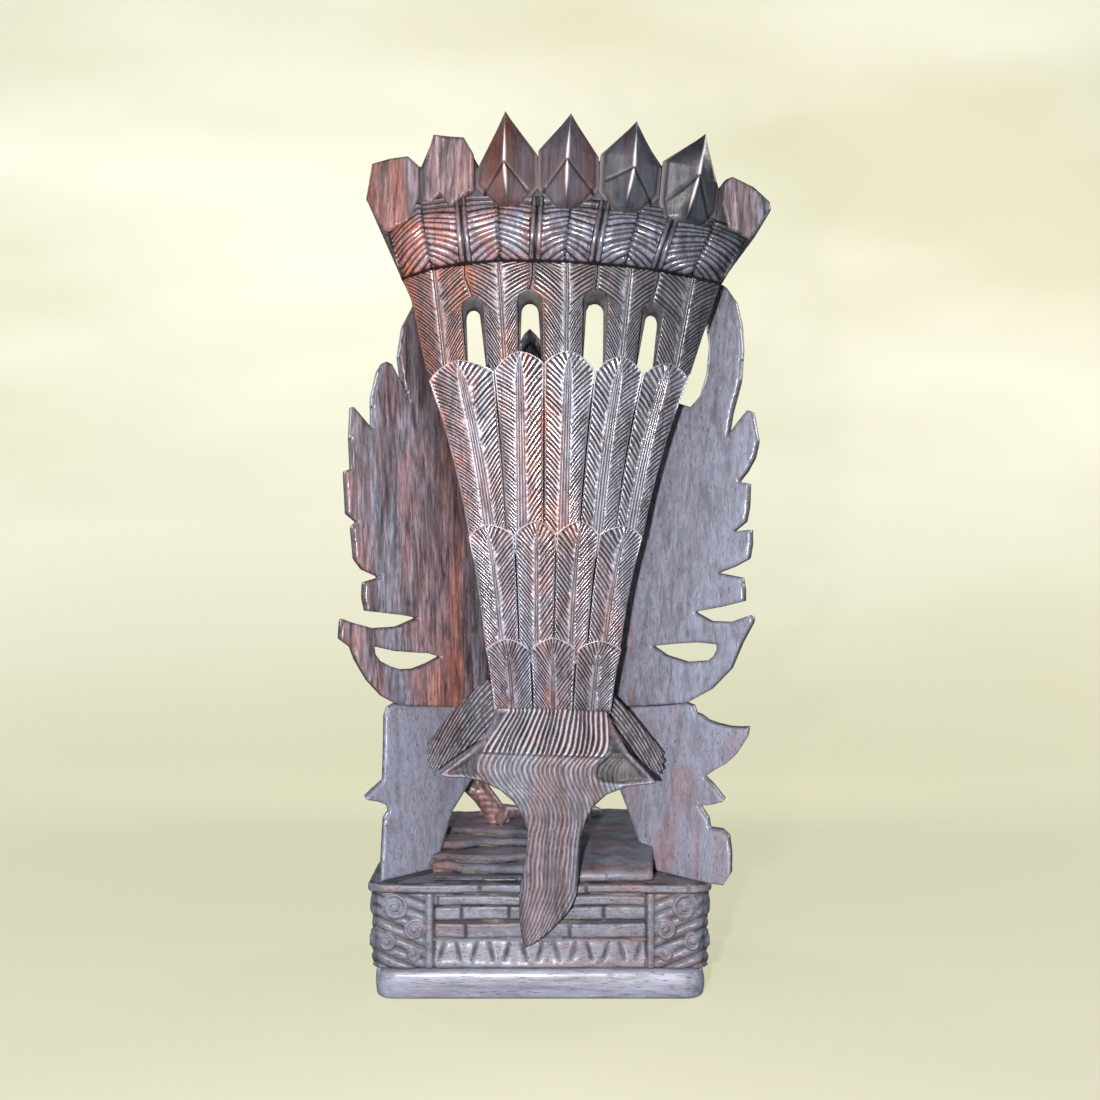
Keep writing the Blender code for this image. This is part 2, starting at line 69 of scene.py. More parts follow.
def carved_piece(name, points, face_groups, finish, cut=None):
    """An object from points in mm and arrays of faces, each array holding faces of one size. The cut
    attribute runs from 0 in the bottom of a tool cut to 1 on the surface and 2 where a highlight is painted
    on."""
    mesh = bpy.data.meshes.new(name)
    mesh.vertices.add(len(points))
    mesh.vertices.foreach_set("co", (np.asarray(points, float) * MM).ravel())
    corners = np.concatenate([group.ravel() for group in face_groups]).astype(np.int32)
    sizes = np.concatenate([np.full(len(group), group.shape[1]) for group in face_groups])
    mesh.loops.add(len(corners))
    mesh.loops.foreach_set("vertex_index", corners)
    mesh.polygons.add(len(sizes))
    mesh.polygons.foreach_set("loop_start", (np.cumsum(sizes) - sizes).astype(np.int32))
    mesh.update(calc_edges=True)
    mesh.validate()
    mesh.shade_smooth()
    attribute = mesh.attributes.new("cut", "FLOAT", "POINT")
    values = np.ones(len(points)) if cut is None else np.clip(cut, 0.0, 2.0)
    attribute.data.foreach_set("value", values.astype(np.float32))
    obj = bpy.data.objects.new(name, mesh)
    bpy.context.scene.collection.objects.link(obj)
    mesh.materials.append(finish)
    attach(obj, "root")
    return obj


def grid_faces(rows, columns, first=0, wrap=False):
    """Quads over a grid of rows by columns numbered row by row, facing the way that row direction
    crossed with column direction points; wrap joins the last column to the first."""
    last = columns if wrap else columns - 1
    row, column = np.meshgrid(np.arange(rows - 1), np.arange(last), indexing="ij")
    near, far = row * columns + column, row * columns + (column + 1) % columns
    return first + np.stack([near, near + columns, far + columns, far], axis=-1).reshape(-1, 4)


def rounded_rectangle(length, depth, corner, step):
    """Points round a rectangle with quarter-circle corners, anticlockwise from above, about every
    step mm, with the outward normals."""
    x, y = length / 2 - corner, depth / 2 - corner
    arc = max(4, int(corner * math.pi / 2 / step))
    points, normals = [], []
    for centre_x, centre_y, start, run in ((x, -y, -90, 2 * y), (x, y, 0, 2 * x), (-x, y, 90, 2 * y),
                                           (-x, -y, 180, 2 * x)):
        angle = np.radians(start + 90 * np.arange(arc) / arc)
        normal = np.stack([np.cos(angle), np.sin(angle)], axis=-1)
        points.append(np.array([centre_x, centre_y]) + corner * normal)
        normals.append(normal)
        end = math.radians(start + 90)
        along = np.linspace(0, run, max(2, int(run / step)), endpoint=False)[:, None]
        out = np.array([math.cos(end), math.sin(end)])
        points.append(np.array([centre_x, centre_y]) + corner * out + along * np.array([-out[1], out[0]]))
        normals.append(np.repeat(out[None], len(along), axis=0))
    return np.concatenate(points), np.concatenate(normals)


def turned_block(path, normals, profile):
    """The surface that a profile of (inset mm, height mm) makes when carried round a path: each path
    point moved in along its normal. Returns its points, row by row up the profile."""
    inset, height = np.asarray(profile, float).T
    plan = path[None] - inset[:, None, None] * normals[None]
    return np.concatenate([plan, np.broadcast_to(height[:, None, None], plan.shape[:2] + (1,))], axis=-1)


def closed_rings(name, rings, finish, cut=None):
    """A solid from a stack of closed rings of points, lowest first, with a flat face at each end."""
    rows, columns = rings.shape[:2]
    ends = [np.arange(columns)[None, ::-1], (rows - 1) * columns + np.arange(columns)[None]]
    sides = grid_faces(rows, columns, wrap=True)[:, ::-1]
    return carved_piece(name, rings.reshape(-1, 3), [sides, *ends], finish,
                        None if cut is None else cut.ravel())


def node_maker(material):
    """Clears a material's nodes and returns a function that adds one node with its values set and
    its inputs linked, by socket name or number."""
    tree = material.node_tree
    tree.nodes.clear()

    def add(kind, links=None, values=None, **settings):
        """One node of a kind, with its settings, the values of its sockets and the links into it."""
        node = tree.nodes.new(kind)
        for key, value in settings.items():
            setattr(node, key, value)
        for key, value in (values or {}).items():
            node.inputs[key].default_value = value
        for key, source in (links or {}).items():
            tree.links.new(source, node.inputs[key])
        return node

    return add


def maths(add, operation, first, second, clamp=False):
    """One Math node over two sockets or numbers."""
    node = add("ShaderNodeMath", operation=operation, use_clamp=clamp)
    tree = node.id_data
    for socket, value in zip(node.inputs, (first, second)):
        if isinstance(value, (int, float)):
            socket.default_value = value
        else:
            tree.links.new(value, socket)
    return node.outputs[0]


def product(add, *factors):
    """Sockets or numbers multiplied together, by one Math node for each after the first."""
    result = factors[0]
    for factor in factors[1:]:
        result = maths(add, "MULTIPLY", result, factor)
    return result


def ranged(add, value, low, high, at_low=0.0, at_high=1.0):
    """One Map Range node: at_low where the value is low, at_high where it is high, straight between."""
    return add("ShaderNodeMapRange", {"Value": value},
               {"From Min": low, "From Max": high, "To Min": at_low, "To Max": at_high}).outputs[0]


def mixed(add, factor, first, second, blend="MIX"):
    """One colour Mix node over sockets or linear colours."""
    node = add("ShaderNodeMix", data_type="RGBA", blend_type=blend)
    tree = node.id_data
    for name, value in (("Factor_Float", factor), ("A_Color", first), ("B_Color", second)):
        socket = next(s for s in node.inputs if s.identifier == name)
        if isinstance(value, (int, float)):
            socket.default_value = value
        elif isinstance(value, tuple):
            socket.default_value = (*value, 1.0)
        else:
            tree.links.new(value, socket)
    return next(s for s in node.outputs if s.identifier == "Result_Color")


# Colours of the timber in linear light, the grey heart tinted blue as a painted cool sheen, and the half
# width over which its left and right sides differ
DARK_HEART = (0.070, 0.050, 0.052)
SHEEN_GREY_HEART = (0.222, 0.238, 0.300)
RED_HEART = (0.30, 0.105, 0.072)
AMBER_HEART = (0.60, 0.175, 0.065)
DUST = (0.50, 0.44, 0.33)
# the pale grey below is a painted highlight
PAINTED_HIGHLIGHT = (0.60, 0.54, 0.55)
HALF_WIDTH = 0.075


def oiled_rosewood(name, redness=(0.0, 0.0), grain="Z", dark=1.0, amber=0.0, dust=0.0, rough=0.42,
                   pores=1.0, cut_shade=0.95, wax=0.30, side_shade=(1.0, 1.0), figure=1.0, stretch=0.10):
    """Oiled and waxed rosewood. Fibres are noise drawn out along the grain axis by the stretch, and figure
    is their contrast. Pores are a finer noise cut at a threshold. Redness gives how red the wood is at the
    left and the right of the carving, and the side factors paint shade, paler on the left, which faces the
    lamps, and darker on the right, which is turned from them. Cuts are painted darker, as shade in the
    grooves, and are rougher than the surface, which is worn by handling; cut values above 1 paint a
    highlight. Wax is the weight of the glossy coat."""
    material = bpy.data.materials.new(name)
    material.use_nodes = True
    add = node_maker(material)
    place = add("ShaderNodeTexCoord").outputs["Object"]
    drawn = [1.0, 1.0, 1.0]
    drawn["XYZ".index(grain)] = stretch
    fibre_place = add("ShaderNodeMapping", {"Vector": place}, {"Scale": drawn}).outputs[0]

    def noise(scale, detail, where=fibre_place, distortion=0.0):
        """One noise over the drawn-out fibres, or over another place."""
        return add("ShaderNodeTexNoise", {"Vector": where},
                   {"Scale": scale, "Detail": detail, "Roughness": 0.62, "Distortion": distortion}
                   ).outputs["Fac"]

    streak, fibre = noise(230, 6, distortion=0.8), noise(820, 3)
    patch, cloud = noise(42, 4, distortion=1.2), noise(55, 4, place)
    pore = noise(1700, 2)

    # Heartwood: grey, tinted blue as a painted cool sheen, turns red in patches, amber in the clouds over
    # the red, and dark in bands
    across = add("ShaderNodeSeparateXYZ", {"Vector": place}).outputs["X"]
    red = maths(add, "ADD", ranged(add, patch, 0.0, 1.0, -1.3, 1.3),
                ranged(add, across, -HALF_WIDTH, HALF_WIDTH, *redness), clamp=True)
    heart = mixed(add, red, SHEEN_GREY_HEART, RED_HEART)
    if amber:
        glow = product(add, ranged(add, cloud, 0.47, 0.66), red, amber)
        heart = mixed(add, glow, heart, AMBER_HEART)
    colour = mixed(add, ranged(add, streak, 0.34, 0.58, max(0.0, 0.8 - figure)), DARK_HEART, heart)

    # Brightness: fibres, painted shade from side to side, pores, and painted shade in the cuts
    cut = add("ShaderNodeAttribute", attribute_name="cut").outputs["Fac"]
    holes = ranged(add, pore, 0.33, 0.41, 1.0 - 0.65 * pores)
    shade = product(add, ranged(add, fibre, 0.34, 0.66, 1.0 - 0.55 * figure, 1.0 + 0.5 * figure),
                    ranged(add, across, -HALF_WIDTH, HALF_WIDTH, *side_shade), dark, holes,
                    ranged(add, cut, 0.22, 1.0, 1.0 - cut_shade, 1.2))
    grey = add("ShaderNodeCombineColor", {0: shade, 1: shade, 2: shade}).outputs[0]
    colour = mixed(add, 1.0, colour, grey, "MULTIPLY")
    # cut values from 1 to 2 blend in the painted highlight
    colour = mixed(add, ranged(add, cut, 1.0, 2.0), colour, PAINTED_HIGHLIGHT)
    if dust:
        settled = product(add, ranged(add, cut, 0.55, 0.15), ranged(add, cloud, 0.46, 0.62), dust)
        colour = mixed(add, settled, colour, DUST)

    # Surface: rougher in the cuts, raised along the fibres, and coated where it is handled
    gloss = maths(add, "ADD", ranged(add, streak, 0.2, 0.8, rough - 0.07, rough + 0.10),
                  ranged(add, cut, 0.1, 0.8, 0.22, 0.0))
    height = maths(add, "ADD", product(add, fibre, 0.35), holes)
    height = maths(add, "ADD", height, product(add, streak, 0.8))
    bump = add("ShaderNodeBump", {"Height": height}, {"Strength": 0.35, "Distance": 0.0004})
    coat = ranged(add, cut, 0.35, 0.9, 0.0, wax)
    shader = add("ShaderNodeBsdfPrincipled",
                 {"Base Color": colour, "Roughness": gloss, "Normal": bump.outputs[0], "Coat Weight": coat},
                 {"Metallic": 0.0, "Specular IOR Level": 0.45, "Coat Roughness": 0.20})
    add("ShaderNodeOutputMaterial", {"Surface": shader.outputs[0]})
    return material


base_wood = oiled_rosewood("waxed_base_rosewood", redness=(-0.1, -0.3), grain="X", dark=0.66, rough=0.42,
                           figure=0.3)


def plinth_rings():
    """The plinth's side profile (a rounded lower edge, a slightly crowned face, a rounded upper edge
    and a flat top) carried round its plan, with slight ripples from the plane."""
    path, normals = rounded_rectangle(PLINTH_LENGTH, PLINTH_DEPTH, PLINTH_CORNER, 2.0)
    turn = np.radians(np.linspace(0, 90, 5))
    lower = [(2.2 - 2.2 * math.sin(a), 2.2 - 2.2 * math.cos(a)) for a in turn]
    face = [(-0.35 * math.sin(math.pi * t), 2.2 + t * (PLINTH_HEIGHT - 5.2)) for t in (0.25, 0.5, 0.75)]
    upper = [(3.0 - 3.0 * math.cos(a), PLINTH_HEIGHT - 3.0 + 3.0 * math.sin(a)) for a in turn]
    rings = turned_block(path, normals, [*lower, *face, *upper])
    x, y, z = rings[..., 0], rings[..., 1], rings[..., 2]
    free = smooth_step(z, 0.2, 3.0) * smooth_step(-z, 0.1 - PLINTH_HEIGHT, 1.5 - PLINTH_HEIGHT)
    rings[..., :2] += (0.35 * ripple(x, y, 3 * z, 42) * free)[..., None] * normals
    return rings


plinth = closed_rings("plinth_board", plinth_rings(), base_wood)
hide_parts("plinth")

# ------------------------------------------------------------------------------------------ brick block
# The block over the plinth, carved all round as a temple wall: a capping course, brick courses set
# back between carved corner leaves, and a row of slanting petals along the foot.

BLOCK_LENGTH, BLOCK_DEPTH, BLOCK_CORNER = 153.0, 110.0, 7.0
BLOCK_LOW, BLOCK_TOP = 13.8, 52.5
WALL_SET_BACK = 3.2
LEAF_WIDTH = 29.0  # what a corner's leaves take up on each side of it

# Courses: lower and upper edge, length of a brick, where the first one starts, how far it stands out
COURSES = ((48.0, 52.5, 47.0, 20.0, 1.0), (42.2, 47.2, 52.0, 6.0, 0.0),
           (35.0, 41.6, 21.0, 7.0, -WALL_SET_BACK), (27.0, 34.2, 47.0, 14.0, -WALL_SET_BACK + 0.3))
BEDS = ((47.2, 48.0, -0.4), (41.6, 42.2, -1.8), (34.2, 35.0, -WALL_SET_BACK - 0.5))  # low, high, relief
PETAL_PITCH, PETAL_TOP = 7.4, 26.0
# Curls of a corner leaf: distance from the corner and height of the eye, radius, and way of turning
CURLS = ((11.0, 41.5, 6.6, 1), (20.0, 31.5, 5.2, -1), (7.5, 26.0, 4.6, 1), (19.5, 20.5, 3.8, 1))


def groove(distance, half_width, depth):
    """A V cut: -depth where distance is 0, rising straight to 0 at half_width."""
    return -depth * np.clip(1 - np.abs(distance) / half_width, 0, 1)


def brick_courses(s, z):
    """Relief of the wall in mm, and the distance from its joints: rounded bricks in slightly wavy
    courses, with V cuts between courses and between bricks."""
    relief = np.full(np.broadcast(s, z).shape, -0.6)
    near = np.full(relief.shape, 9.0)
    for low, high, length, shift, stand in COURSES:
        wave = 0.25 * np.sin(s / 9.0 + low)
        inside = (z > low + wave) & (z <= high + wave)
        along = (s - shift + 0.8 * np.sin(s / 31.0 + low)) / length
        joint = np.abs(along - np.round(along)) * length
        bed = np.minimum(z - low - wave, high + wave - z)
        edge = np.minimum(joint, bed)
        brick = stand + 0.45 * smooth_step(edge, 0.0, 1.3) + groove(edge, 0.8, 0.7)
        relief = np.where(inside, brick, relief)
        near = np.where(inside, edge, near)
    for low, high, level in BEDS:
        between = (z >= low) & (z < high)
        relief, near = np.where(between, level, relief), np.where(between, 0.0, near)
    return relief, near


def petal_row(s, z):
    """Relief of the foot, and the distance from its cuts: a cove that runs out to the block's lower
    edge, cut by short strokes that lean one way and then the other."""
    out = -WALL_SET_BACK * (1 - smooth_step(z, PETAL_TOP, BLOCK_LOW) ** 0.8) - 0.3
    number = np.round(s / PETAL_PITCH)
    lean = np.where(number % 2 == 0, 0.33, -0.33)
    stroke = s - PETAL_PITCH * number - lean * (z - 21.5)
    length = np.clip(1 - np.abs(z - 21.3) / 4.2, 0, 1) ** 0.6
    cut = groove(stroke, 1.25, 1.2) * length
    return out + cut, np.where(length > 0, np.abs(stroke) / np.maximum(length, 0.05), 9.0)


def corner_leaf(d, z):
    """Relief of a corner's leaves at distance d from the corner: curls whose height follows a spiral,
    each with a domed bud in its eye, slanting fronds behind them and a raised border on the wall's side."""
    relief = np.full(np.broadcast(d, z).shape, -1.7)
    for eye_d, eye_z, size, turn in CURLS:
        x, y = (d - eye_d) * turn, z - eye_z
        radius, angle = np.hypot(x, y), np.arctan2(y, x)
        spiral = np.sin(2 * math.pi * (radius / size * 1.6 - angle / (2 * math.pi)))
        body = smooth_step(radius, size + 0.6, size - 1.2)
        bud = np.clip(1 - (radius / (0.30 * size)) ** 2, 0, 1) ** 0.5
        relief = np.maximum(relief, body * (0.5 + 0.55 * spiral) - 1.4 * (1 - body))
        relief = np.maximum(relief, 1.1 * bud - 0.4 * (bud <= 0) - 1.2 * (radius > size))
    fronds = np.abs(np.sin(0.62 * (z - 18) + 0.25 * d)) ** 0.6
    relief = np.maximum(relief, -1.1 + 1.2 * fronds * smooth_step(d, 0.0, 4.0) * smooth_step(d, 27, 23))
    border = smooth_step(np.abs(d - (LEAF_WIDTH - 2.3)), 1.5, 0.8)
    return np.where(border > 0, np.maximum(relief, 0.5 * border), relief)


def block_rings():
    """The block's sides as rows of points, each moved along its normal by the carved relief: leaves
    within LEAF_WIDTH of a corner, courses and petals between, and a cap over both."""
    path, normals = rounded_rectangle(BLOCK_LENGTH, BLOCK_DEPTH, BLOCK_CORNER, 0.55)
    heights = np.concatenate([np.linspace(BLOCK_LOW, BLOCK_TOP - 0.8, 84), [BLOCK_TOP - 0.35, BLOCK_TOP]])
    rings = turned_block(path, normals, [(0.0, z) for z in heights])
    x, y, z = rings[..., 0], rings[..., 1], rings[..., 2]
    on_end = np.abs(normals[:, 0]) > np.abs(normals[:, 1])
    s = np.where(on_end, y, x)
    half = np.where(on_end, BLOCK_DEPTH / 2, BLOCK_LENGTH / 2)
    from_corner = half - np.abs(s)
    wall, joint = brick_courses(s, z)
    petals, stroke = petal_row(s, z)
    foot = z < PETAL_TOP + 0.2
    relief, near = np.where(foot, petals, wall), np.where(foot, stroke, joint)
    leaf = corner_leaf(from_corner, z)
    at_corner = smooth_step(from_corner, LEAF_WIDTH + 0.5, LEAF_WIDTH - 0.5)
    below_cap = smooth_step(z, 48.6, 47.0) * at_corner
    relief = relief * (1 - below_cap) + leaf * below_cap
    cut = smooth_step(near, 0.0, 1.0) * (1 - below_cap) + smooth_step(leaf, -1.4, 0.3) * below_cap
    relief += 0.22 * ripple(x, y, z, 11) + 0.35 * ripple(x, y, z, 37, 1.0)
    edge = BLOCK_TOP - z
    relief -= 0.9 * (1 - np.clip(edge / 0.9, 0, 1) ** 0.5)
    relief -= 1.2 * smooth_step(z, BLOCK_LOW + 1.0, BLOCK_LOW)
    rings[..., :2] += relief[..., None] * normals
    return rings, cut


block_wood = oiled_rosewood("dusty_block_rosewood", redness=(0.10, 0.02), grain="X", dark=0.40, dust=0.2,
                            rough=0.56, cut_shade=0.80, wax=0.05, figure=0.35, stretch=0.3)
rings, cut = block_rings()
brick_block = closed_rings("carved_brick_block", rings, block_wood, cut)
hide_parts("brick_block")


# ------------------------------------------------------------------------------------------ rock
# The bird's rock, carved in layers: broken ledges step up on the left, and the right is one smooth
# boulder. Pale dust lies in the beds between the layers.

ROCK_LOW = 52.8
ROCK_REAR, ROCK_RUN = -54.0, 60.0  # its rear edge, and the run over which it rises
LEDGES = ((0.16, 3.2), (0.36, 2.6), (0.60, 3.0), (0.83, 2.4))  # place as a share of the run, and rise
BOULDER_RISE = 11.8


def outline_distance(x, z, rings):
    """Signed distance in mm from points to the nearest edge of closed outlines, positive inside the
    first and outside the rest (a point is inside where it crosses an odd number of edges to its
    right), and the nearest point on an edge."""
    best, crossings = np.full(x.shape, np.inf), np.zeros(x.shape, int)
    nearest = np.zeros(x.shape + (2,))
    for ring in rings:
        start = np.asarray(ring, float)
        run = np.roll(start, -1, axis=0) - start
        dx, dz = x[:, None] - start[:, 0], z[:, None] - start[:, 1]
        t = np.clip((dx * run[:, 0] + dz * run[:, 1]) / (run ** 2).sum(axis=1), 0, 1)
        gap = np.hypot(dx - t * run[:, 0], dz - t * run[:, 1])
        pick = np.argmin(gap, axis=1)
        rows = np.arange(len(x))
        closer = gap[rows, pick] < best
        best = np.where(closer, gap[rows, pick], best)
        nearest[closer] = (start[pick] + t[rows, pick][:, None] * run[pick])[closer]
        rise = np.where(run[:, 1] == 0, 1e-9, run[:, 1])
        upward = (start[:, 1] > z[:, None]) != (start[:, 1] + run[:, 1] > z[:, None])
        crossings += (upward & (dx < run[:, 0] * dz / rise)).sum(axis=1)
    return np.where(crossings % 2 == 1, best, -best), nearest


def sawn_lattice(rings, step):
    """A square lattice of about step mm fitted to outlines with holes: cells whose middle is inside,
    with the lattice points on their border pulled onto the outline. Returns the points' x and z,
    their distance from the edge, the cells as quads, and the border's edges as point pairs."""
    low, high = np.min(rings[0], axis=0) - step, np.max(rings[0], axis=0) + step
    x, z = np.meshgrid(np.arange(low[0], high[0] + step, step), np.arange(low[1], high[1] + step, step),
                       indexing="ij")
    shape = x.shape
    depth, nearest = outline_distance(x.ravel(), z.ravel(), rings)
    middle = outline_distance((x[:-1, :-1] + step / 2).ravel(), (z[:-1, :-1] + step / 2).ravel(), rings)[0]
    near = (depth > -0.45 * step).reshape(shape)
    keep = near[:-1, :-1] & near[1:, :-1] & near[:-1, 1:] & near[1:, 1:]
    keep &= middle.reshape(keep.shape) > 0
    for _ in range(3):
        room = np.pad(keep, 1)
        a, b, c, d = room[:-1, :-1], room[1:, 1:], room[1:, :-1], room[:-1, 1:]
        touch = (a & b & ~c & ~d) | (c & d & ~a & ~b)
        keep &= ~(touch[:-1, :-1] | touch[1:, 1:] | touch[1:, :-1] | touch[:-1, 1:])
    i, j = np.nonzero(keep)
    number = np.arange(x.size).reshape(shape)
    cells = np.stack([number[i, j], number[i + 1, j], number[i + 1, j + 1], number[i, j + 1]], axis=-1)
    room = np.pad(keep, 1)
    sides = ((i + 1, j, 0, 1), (i + 2, j + 1, 1, 2), (i + 1, j + 2, 2, 3), (i, j + 1, 3, 0))
    border = np.concatenate([cells[~room[p, q]][:, [first, second]] for p, q, first, second in sides])
    points = np.stack([x.ravel(), z.ravel()], axis=-1)
    rim = np.unique(border)
    points[rim] += 0.96 * (nearest[rim] - points[rim])
    depth[rim] = 0.0
    used, place = np.unique(cells, return_inverse=True)
    renumber = np.zeros(x.size, int)
    renumber[used] = np.arange(len(used))
    depth = np.maximum(depth[used], 0.0)
    return points[used, 0], points[used, 1], depth, place.reshape(-1, 4), renumber[border]


def eased(depth, radius):
    """How far a rounded edge falls away at that distance from it: a quarter circle of that radius."""
    return radius * (1 - np.sqrt(1 - (1 - np.clip(depth / radius, 0, 1)) ** 2))


def carved_board(name, rings, step, rear, front, finish, radius=1.6, rear_relief=None, front_relief=None,
                 plan=False, lean=0.0):
    """A board sawn to outlines in (x, z), from depth rear(x, z) to depth front(x, z), with rounded
    edges. A relief function of (x, z, distance from the edge) gives mm of wood standing proud and
    the cut value. With plan, the outlines are in (x, y) and the depths are heights. Lean is how far
    the rear face is shifted sideways, which squares the edges to a board that is swept back."""
    x, z, depth, cells, border = sawn_lattice(rings, step)
    fall = eased(depth, radius)
    sheets, cuts = [], []
    for side, surface, relief in ((-1, rear, rear_relief), (1, front, front_relief)):
        proud, cut = relief(x, z, depth) if relief else (np.zeros_like(x), np.ones_like(x))
        hold = smooth_step(depth, 0.0, 0.6)
        sheets.append(surface(x, z) + side * (proud * hold - fall))
        cuts.append(np.broadcast_to(cut, x.shape))
    count = len(x)
    rim = np.stack([border[:, 1], border[:, 0], border[:, 0] + count, border[:, 1] + count], axis=-1)
    faces = np.concatenate([cells, cells[:, ::-1] + count, rim])
    level = np.concatenate(sheets)
    twice = np.concatenate([x + lean, x]), np.tile(z, 2)
    if plan:
        points, faces = np.stack([twice[0], twice[1], level], axis=-1), faces[:, ::-1]
    else:
        points = np.stack([twice[0], level, twice[1]], axis=-1)
    return carved_piece(name, points, [faces], finish, np.concatenate(cuts))


def up_the_rock(y):
    """How far a place is up the rock, as a share of the run, from 0 at its rear edge to 1."""
    return np.clip((y - ROCK_REAR) / ROCK_RUN, 0, 1)


def bed_wander(x, place):
    """How far a ledge's edge wanders, as a share of the run: two slow waves, and chips broken out."""
    chips = np.clip(ripple(x, 0, 0, 11.0, 9 * place) - 0.25, 0, 1)
    return 0.07 * np.sin(x / 15.0 + 9 * place) + 0.02 * np.sin(x / 6.3 + 5 * place) - 0.06 * chips


def rock_top(x, y):
    """Height of the rock: ledges on the left that rise away from the rear, each one a rounded step,
    and on the right a smooth boulder that slopes down to the rear edge."""
    up = up_the_rock(y)
    ledges = np.zeros(np.broadcast(x, y).shape)
    for place, rise in LEDGES:
        ledges = ledges + rise * smooth_step(up + bed_wander(x, place), place, place + 0.06)
    boulder = BOULDER_RISE * np.sin(0.5 * math.pi * np.clip(up * 1.25 + 0.06, 0, 1)) ** 0.8
    right = smooth_step(x, 2.0, 12.0)
    rough = 0.45 * ripple(x, 1.3 * y, 0, 23) + 0.12 * ripple(x, y, 0, 9, 1.0)
    return ROCK_LOW + 1.8 + ledges * (1 - right) + boulder * right + rough


def rock_marks(x, y, depth):
    """Shallow hollows on the rock, and the cut value that paints shade at the foot of each ledge, where dust
    also gathers.
    """
    foot = np.full(x.shape, 9.0)
    for place, _ in LEDGES:
        gap = up_the_rock(y) + bed_wander(x, place) - place + 0.01
        foot = np.minimum(foot, np.abs(gap) * ROCK_RUN)
    left = smooth_step(x, 10.0, 4.0)
    cut = 1 - 0.9 * left * (1 - smooth_step(foot, 0.3, 2.2))
    return 0.15 * ripple(x, y, 0, 7), cut * (0.8 + 0.2 * ripple(x, y, 0, 16, 2.0))


ROCK_PLAN = ((-48, -53.5), (-20, -53), (10, -53.3), (40, -53), (51, -52), (52, -34), (64, -12), (69, 10),
             (68, 38), (56, 50), (20, 52), (-20, 51), (-56, 50), (-68, 38), (-69, 10), (-64, -12),
             (-50, -34))
rock_wood = oiled_rosewood("stone_dark_rosewood", redness=(0.45, -0.1), grain="X", dark=0.50, dust=0.45,
                           rough=0.5, cut_shade=0.9, figure=0.3, stretch=0.5)
rock = carved_board("carved_rock", [ROCK_PLAN], 0.9, lambda x, y: np.full_like(x, ROCK_LOW), rock_top,
                    rock_wood, radius=1.2, front_relief=rock_marks, plan=True)
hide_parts("rock_mound")

# ------------------------------------------------------------------------------------------ leg screens
# Two flame-edged boards on the block's rear corners, under the wings. Their backs are left smooth
# from the spokeshave; their fronts are carved with flames.

SCREEN_SWEEP, SCREEN_THICK = 1.15, 9.5


def screen_plane(x):
    """Depth of a screen's back before it is shaved: straight, coming to the rear as it goes outwards."""
    return -55 - (np.abs(x) - 75) * SCREEN_SWEEP


def screen_rear(x, z):
    """The screen's back, with the slow hollows that the spokeshave leaves."""
    return screen_plane(x) + 0.5 * ripple(x, 0, z, 36)


def screen_front(x, z):
    """The screen's front, parallel to its back."""
    return screen_plane(x) + SCREEN_THICK


def spokeshaved(x, z, depth):
    """A smooth back: shallow facets left by the blade, and nothing cut."""
    return 0.16 * ripple(x, 0, z, 8, 2.0) + 0.10 * ripple(3 * x, 0, 0.3 * z, 6, 4.0), np.ones_like(x)


def flame_front(x, z, depth):
    """Flames: nested outlines that follow the board's edge every 5 mm, broken by licking strokes."""
    lick = np.sin(0.55 * z + 0.35 * np.abs(x)) * 1.6
    nested = (depth + lick) / 5.0
    cut = np.abs(nested - np.round(nested)) * 5.0
    return groove(cut, 1.2, 1.1) + 0.6 * smooth_step(depth, 6, 0), smooth_step(cut, 0.0, 1.2)


LEFT_SCREEN = ((-27, 121), (-33, 95), (-44, 78), (-51, 53), (-73.5, 53), (-73, 66), (-72.3, 80),
               (-70.3, 83), (-71.2, 86.5), (-75, 89), (-80.2, 91), (-77, 94), (-72.6, 97.6), (-72.2, 112),
               (-72, 127), (-70.8, 130.5), (-68, 132), (-60, 130.2), (-46, 128.7), (-27, 126))
RIGHT_SCREEN = ((33, 121), (37, 95), (43, 80), (52.5, 53), (77, 52.9), (83.3, 53.6), (86, 59), (86.1, 68),
                (85.2, 75.3), (82.6, 77.4), (77.8, 77.1), (77, 81.5), (73.5, 86.8), (79, 88.5),
                (83.8, 90.9), (79, 97), (75.6, 100), (80.2, 104.4), (84.5, 107.8), (88, 112), (92.3, 120.5),
                (93, 124.8), (89, 124.2), (86, 124), (81, 124.6), (77.1, 125.6), (74.5, 127.6),
                (72.3, 128.3), (71.2, 131.5), (68.3, 132.4), (58, 130), (33, 126))
# Its side factors paint a slight shade, paler on the left and darker on the right
screen_wood = oiled_rosewood("waxed_screen_rosewood", redness=(-0.10, 0.02), dark=0.62, rough=0.36,
                             cut_shade=0.8, side_shade=(1.02, 0.98), figure=0.2, stretch=0.3)
for side, outline, lean in (("left", LEFT_SCREEN, 2.0), ("right", RIGHT_SCREEN, -2.0)):
    screen = carved_board("flame_screen_" + side, [outline], 0.75, screen_rear, screen_front, screen_wood,
                          radius=0.8, rear_relief=spokeshaved, front_relief=flame_front, lean=lean)
    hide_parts(side + "_leg_screen")

# ------------------------------------------------------------------------------------------ wings
# Two boards pegged into the body and swept back. The backs are smooth, with the wood's long pores
# showing; the fronts carry rows of feathers that fan out from the shoulder.

AXIS_X = 4.0
WING_ROOT, WING_SWEEP, WING_LEAN, WING_THICK = 20.0, 0.81, 0.05, 7.5
FEATHER_ROW = 34.0  # length of a row of the front's feathers
# Half the tail's width by height, behind which painted shade darkens a wing's back
TAIL_SHADE_WIDTH = ((128, 30), (161, 33), (211, 41), (266, 56), (297, 67), (320, 76))


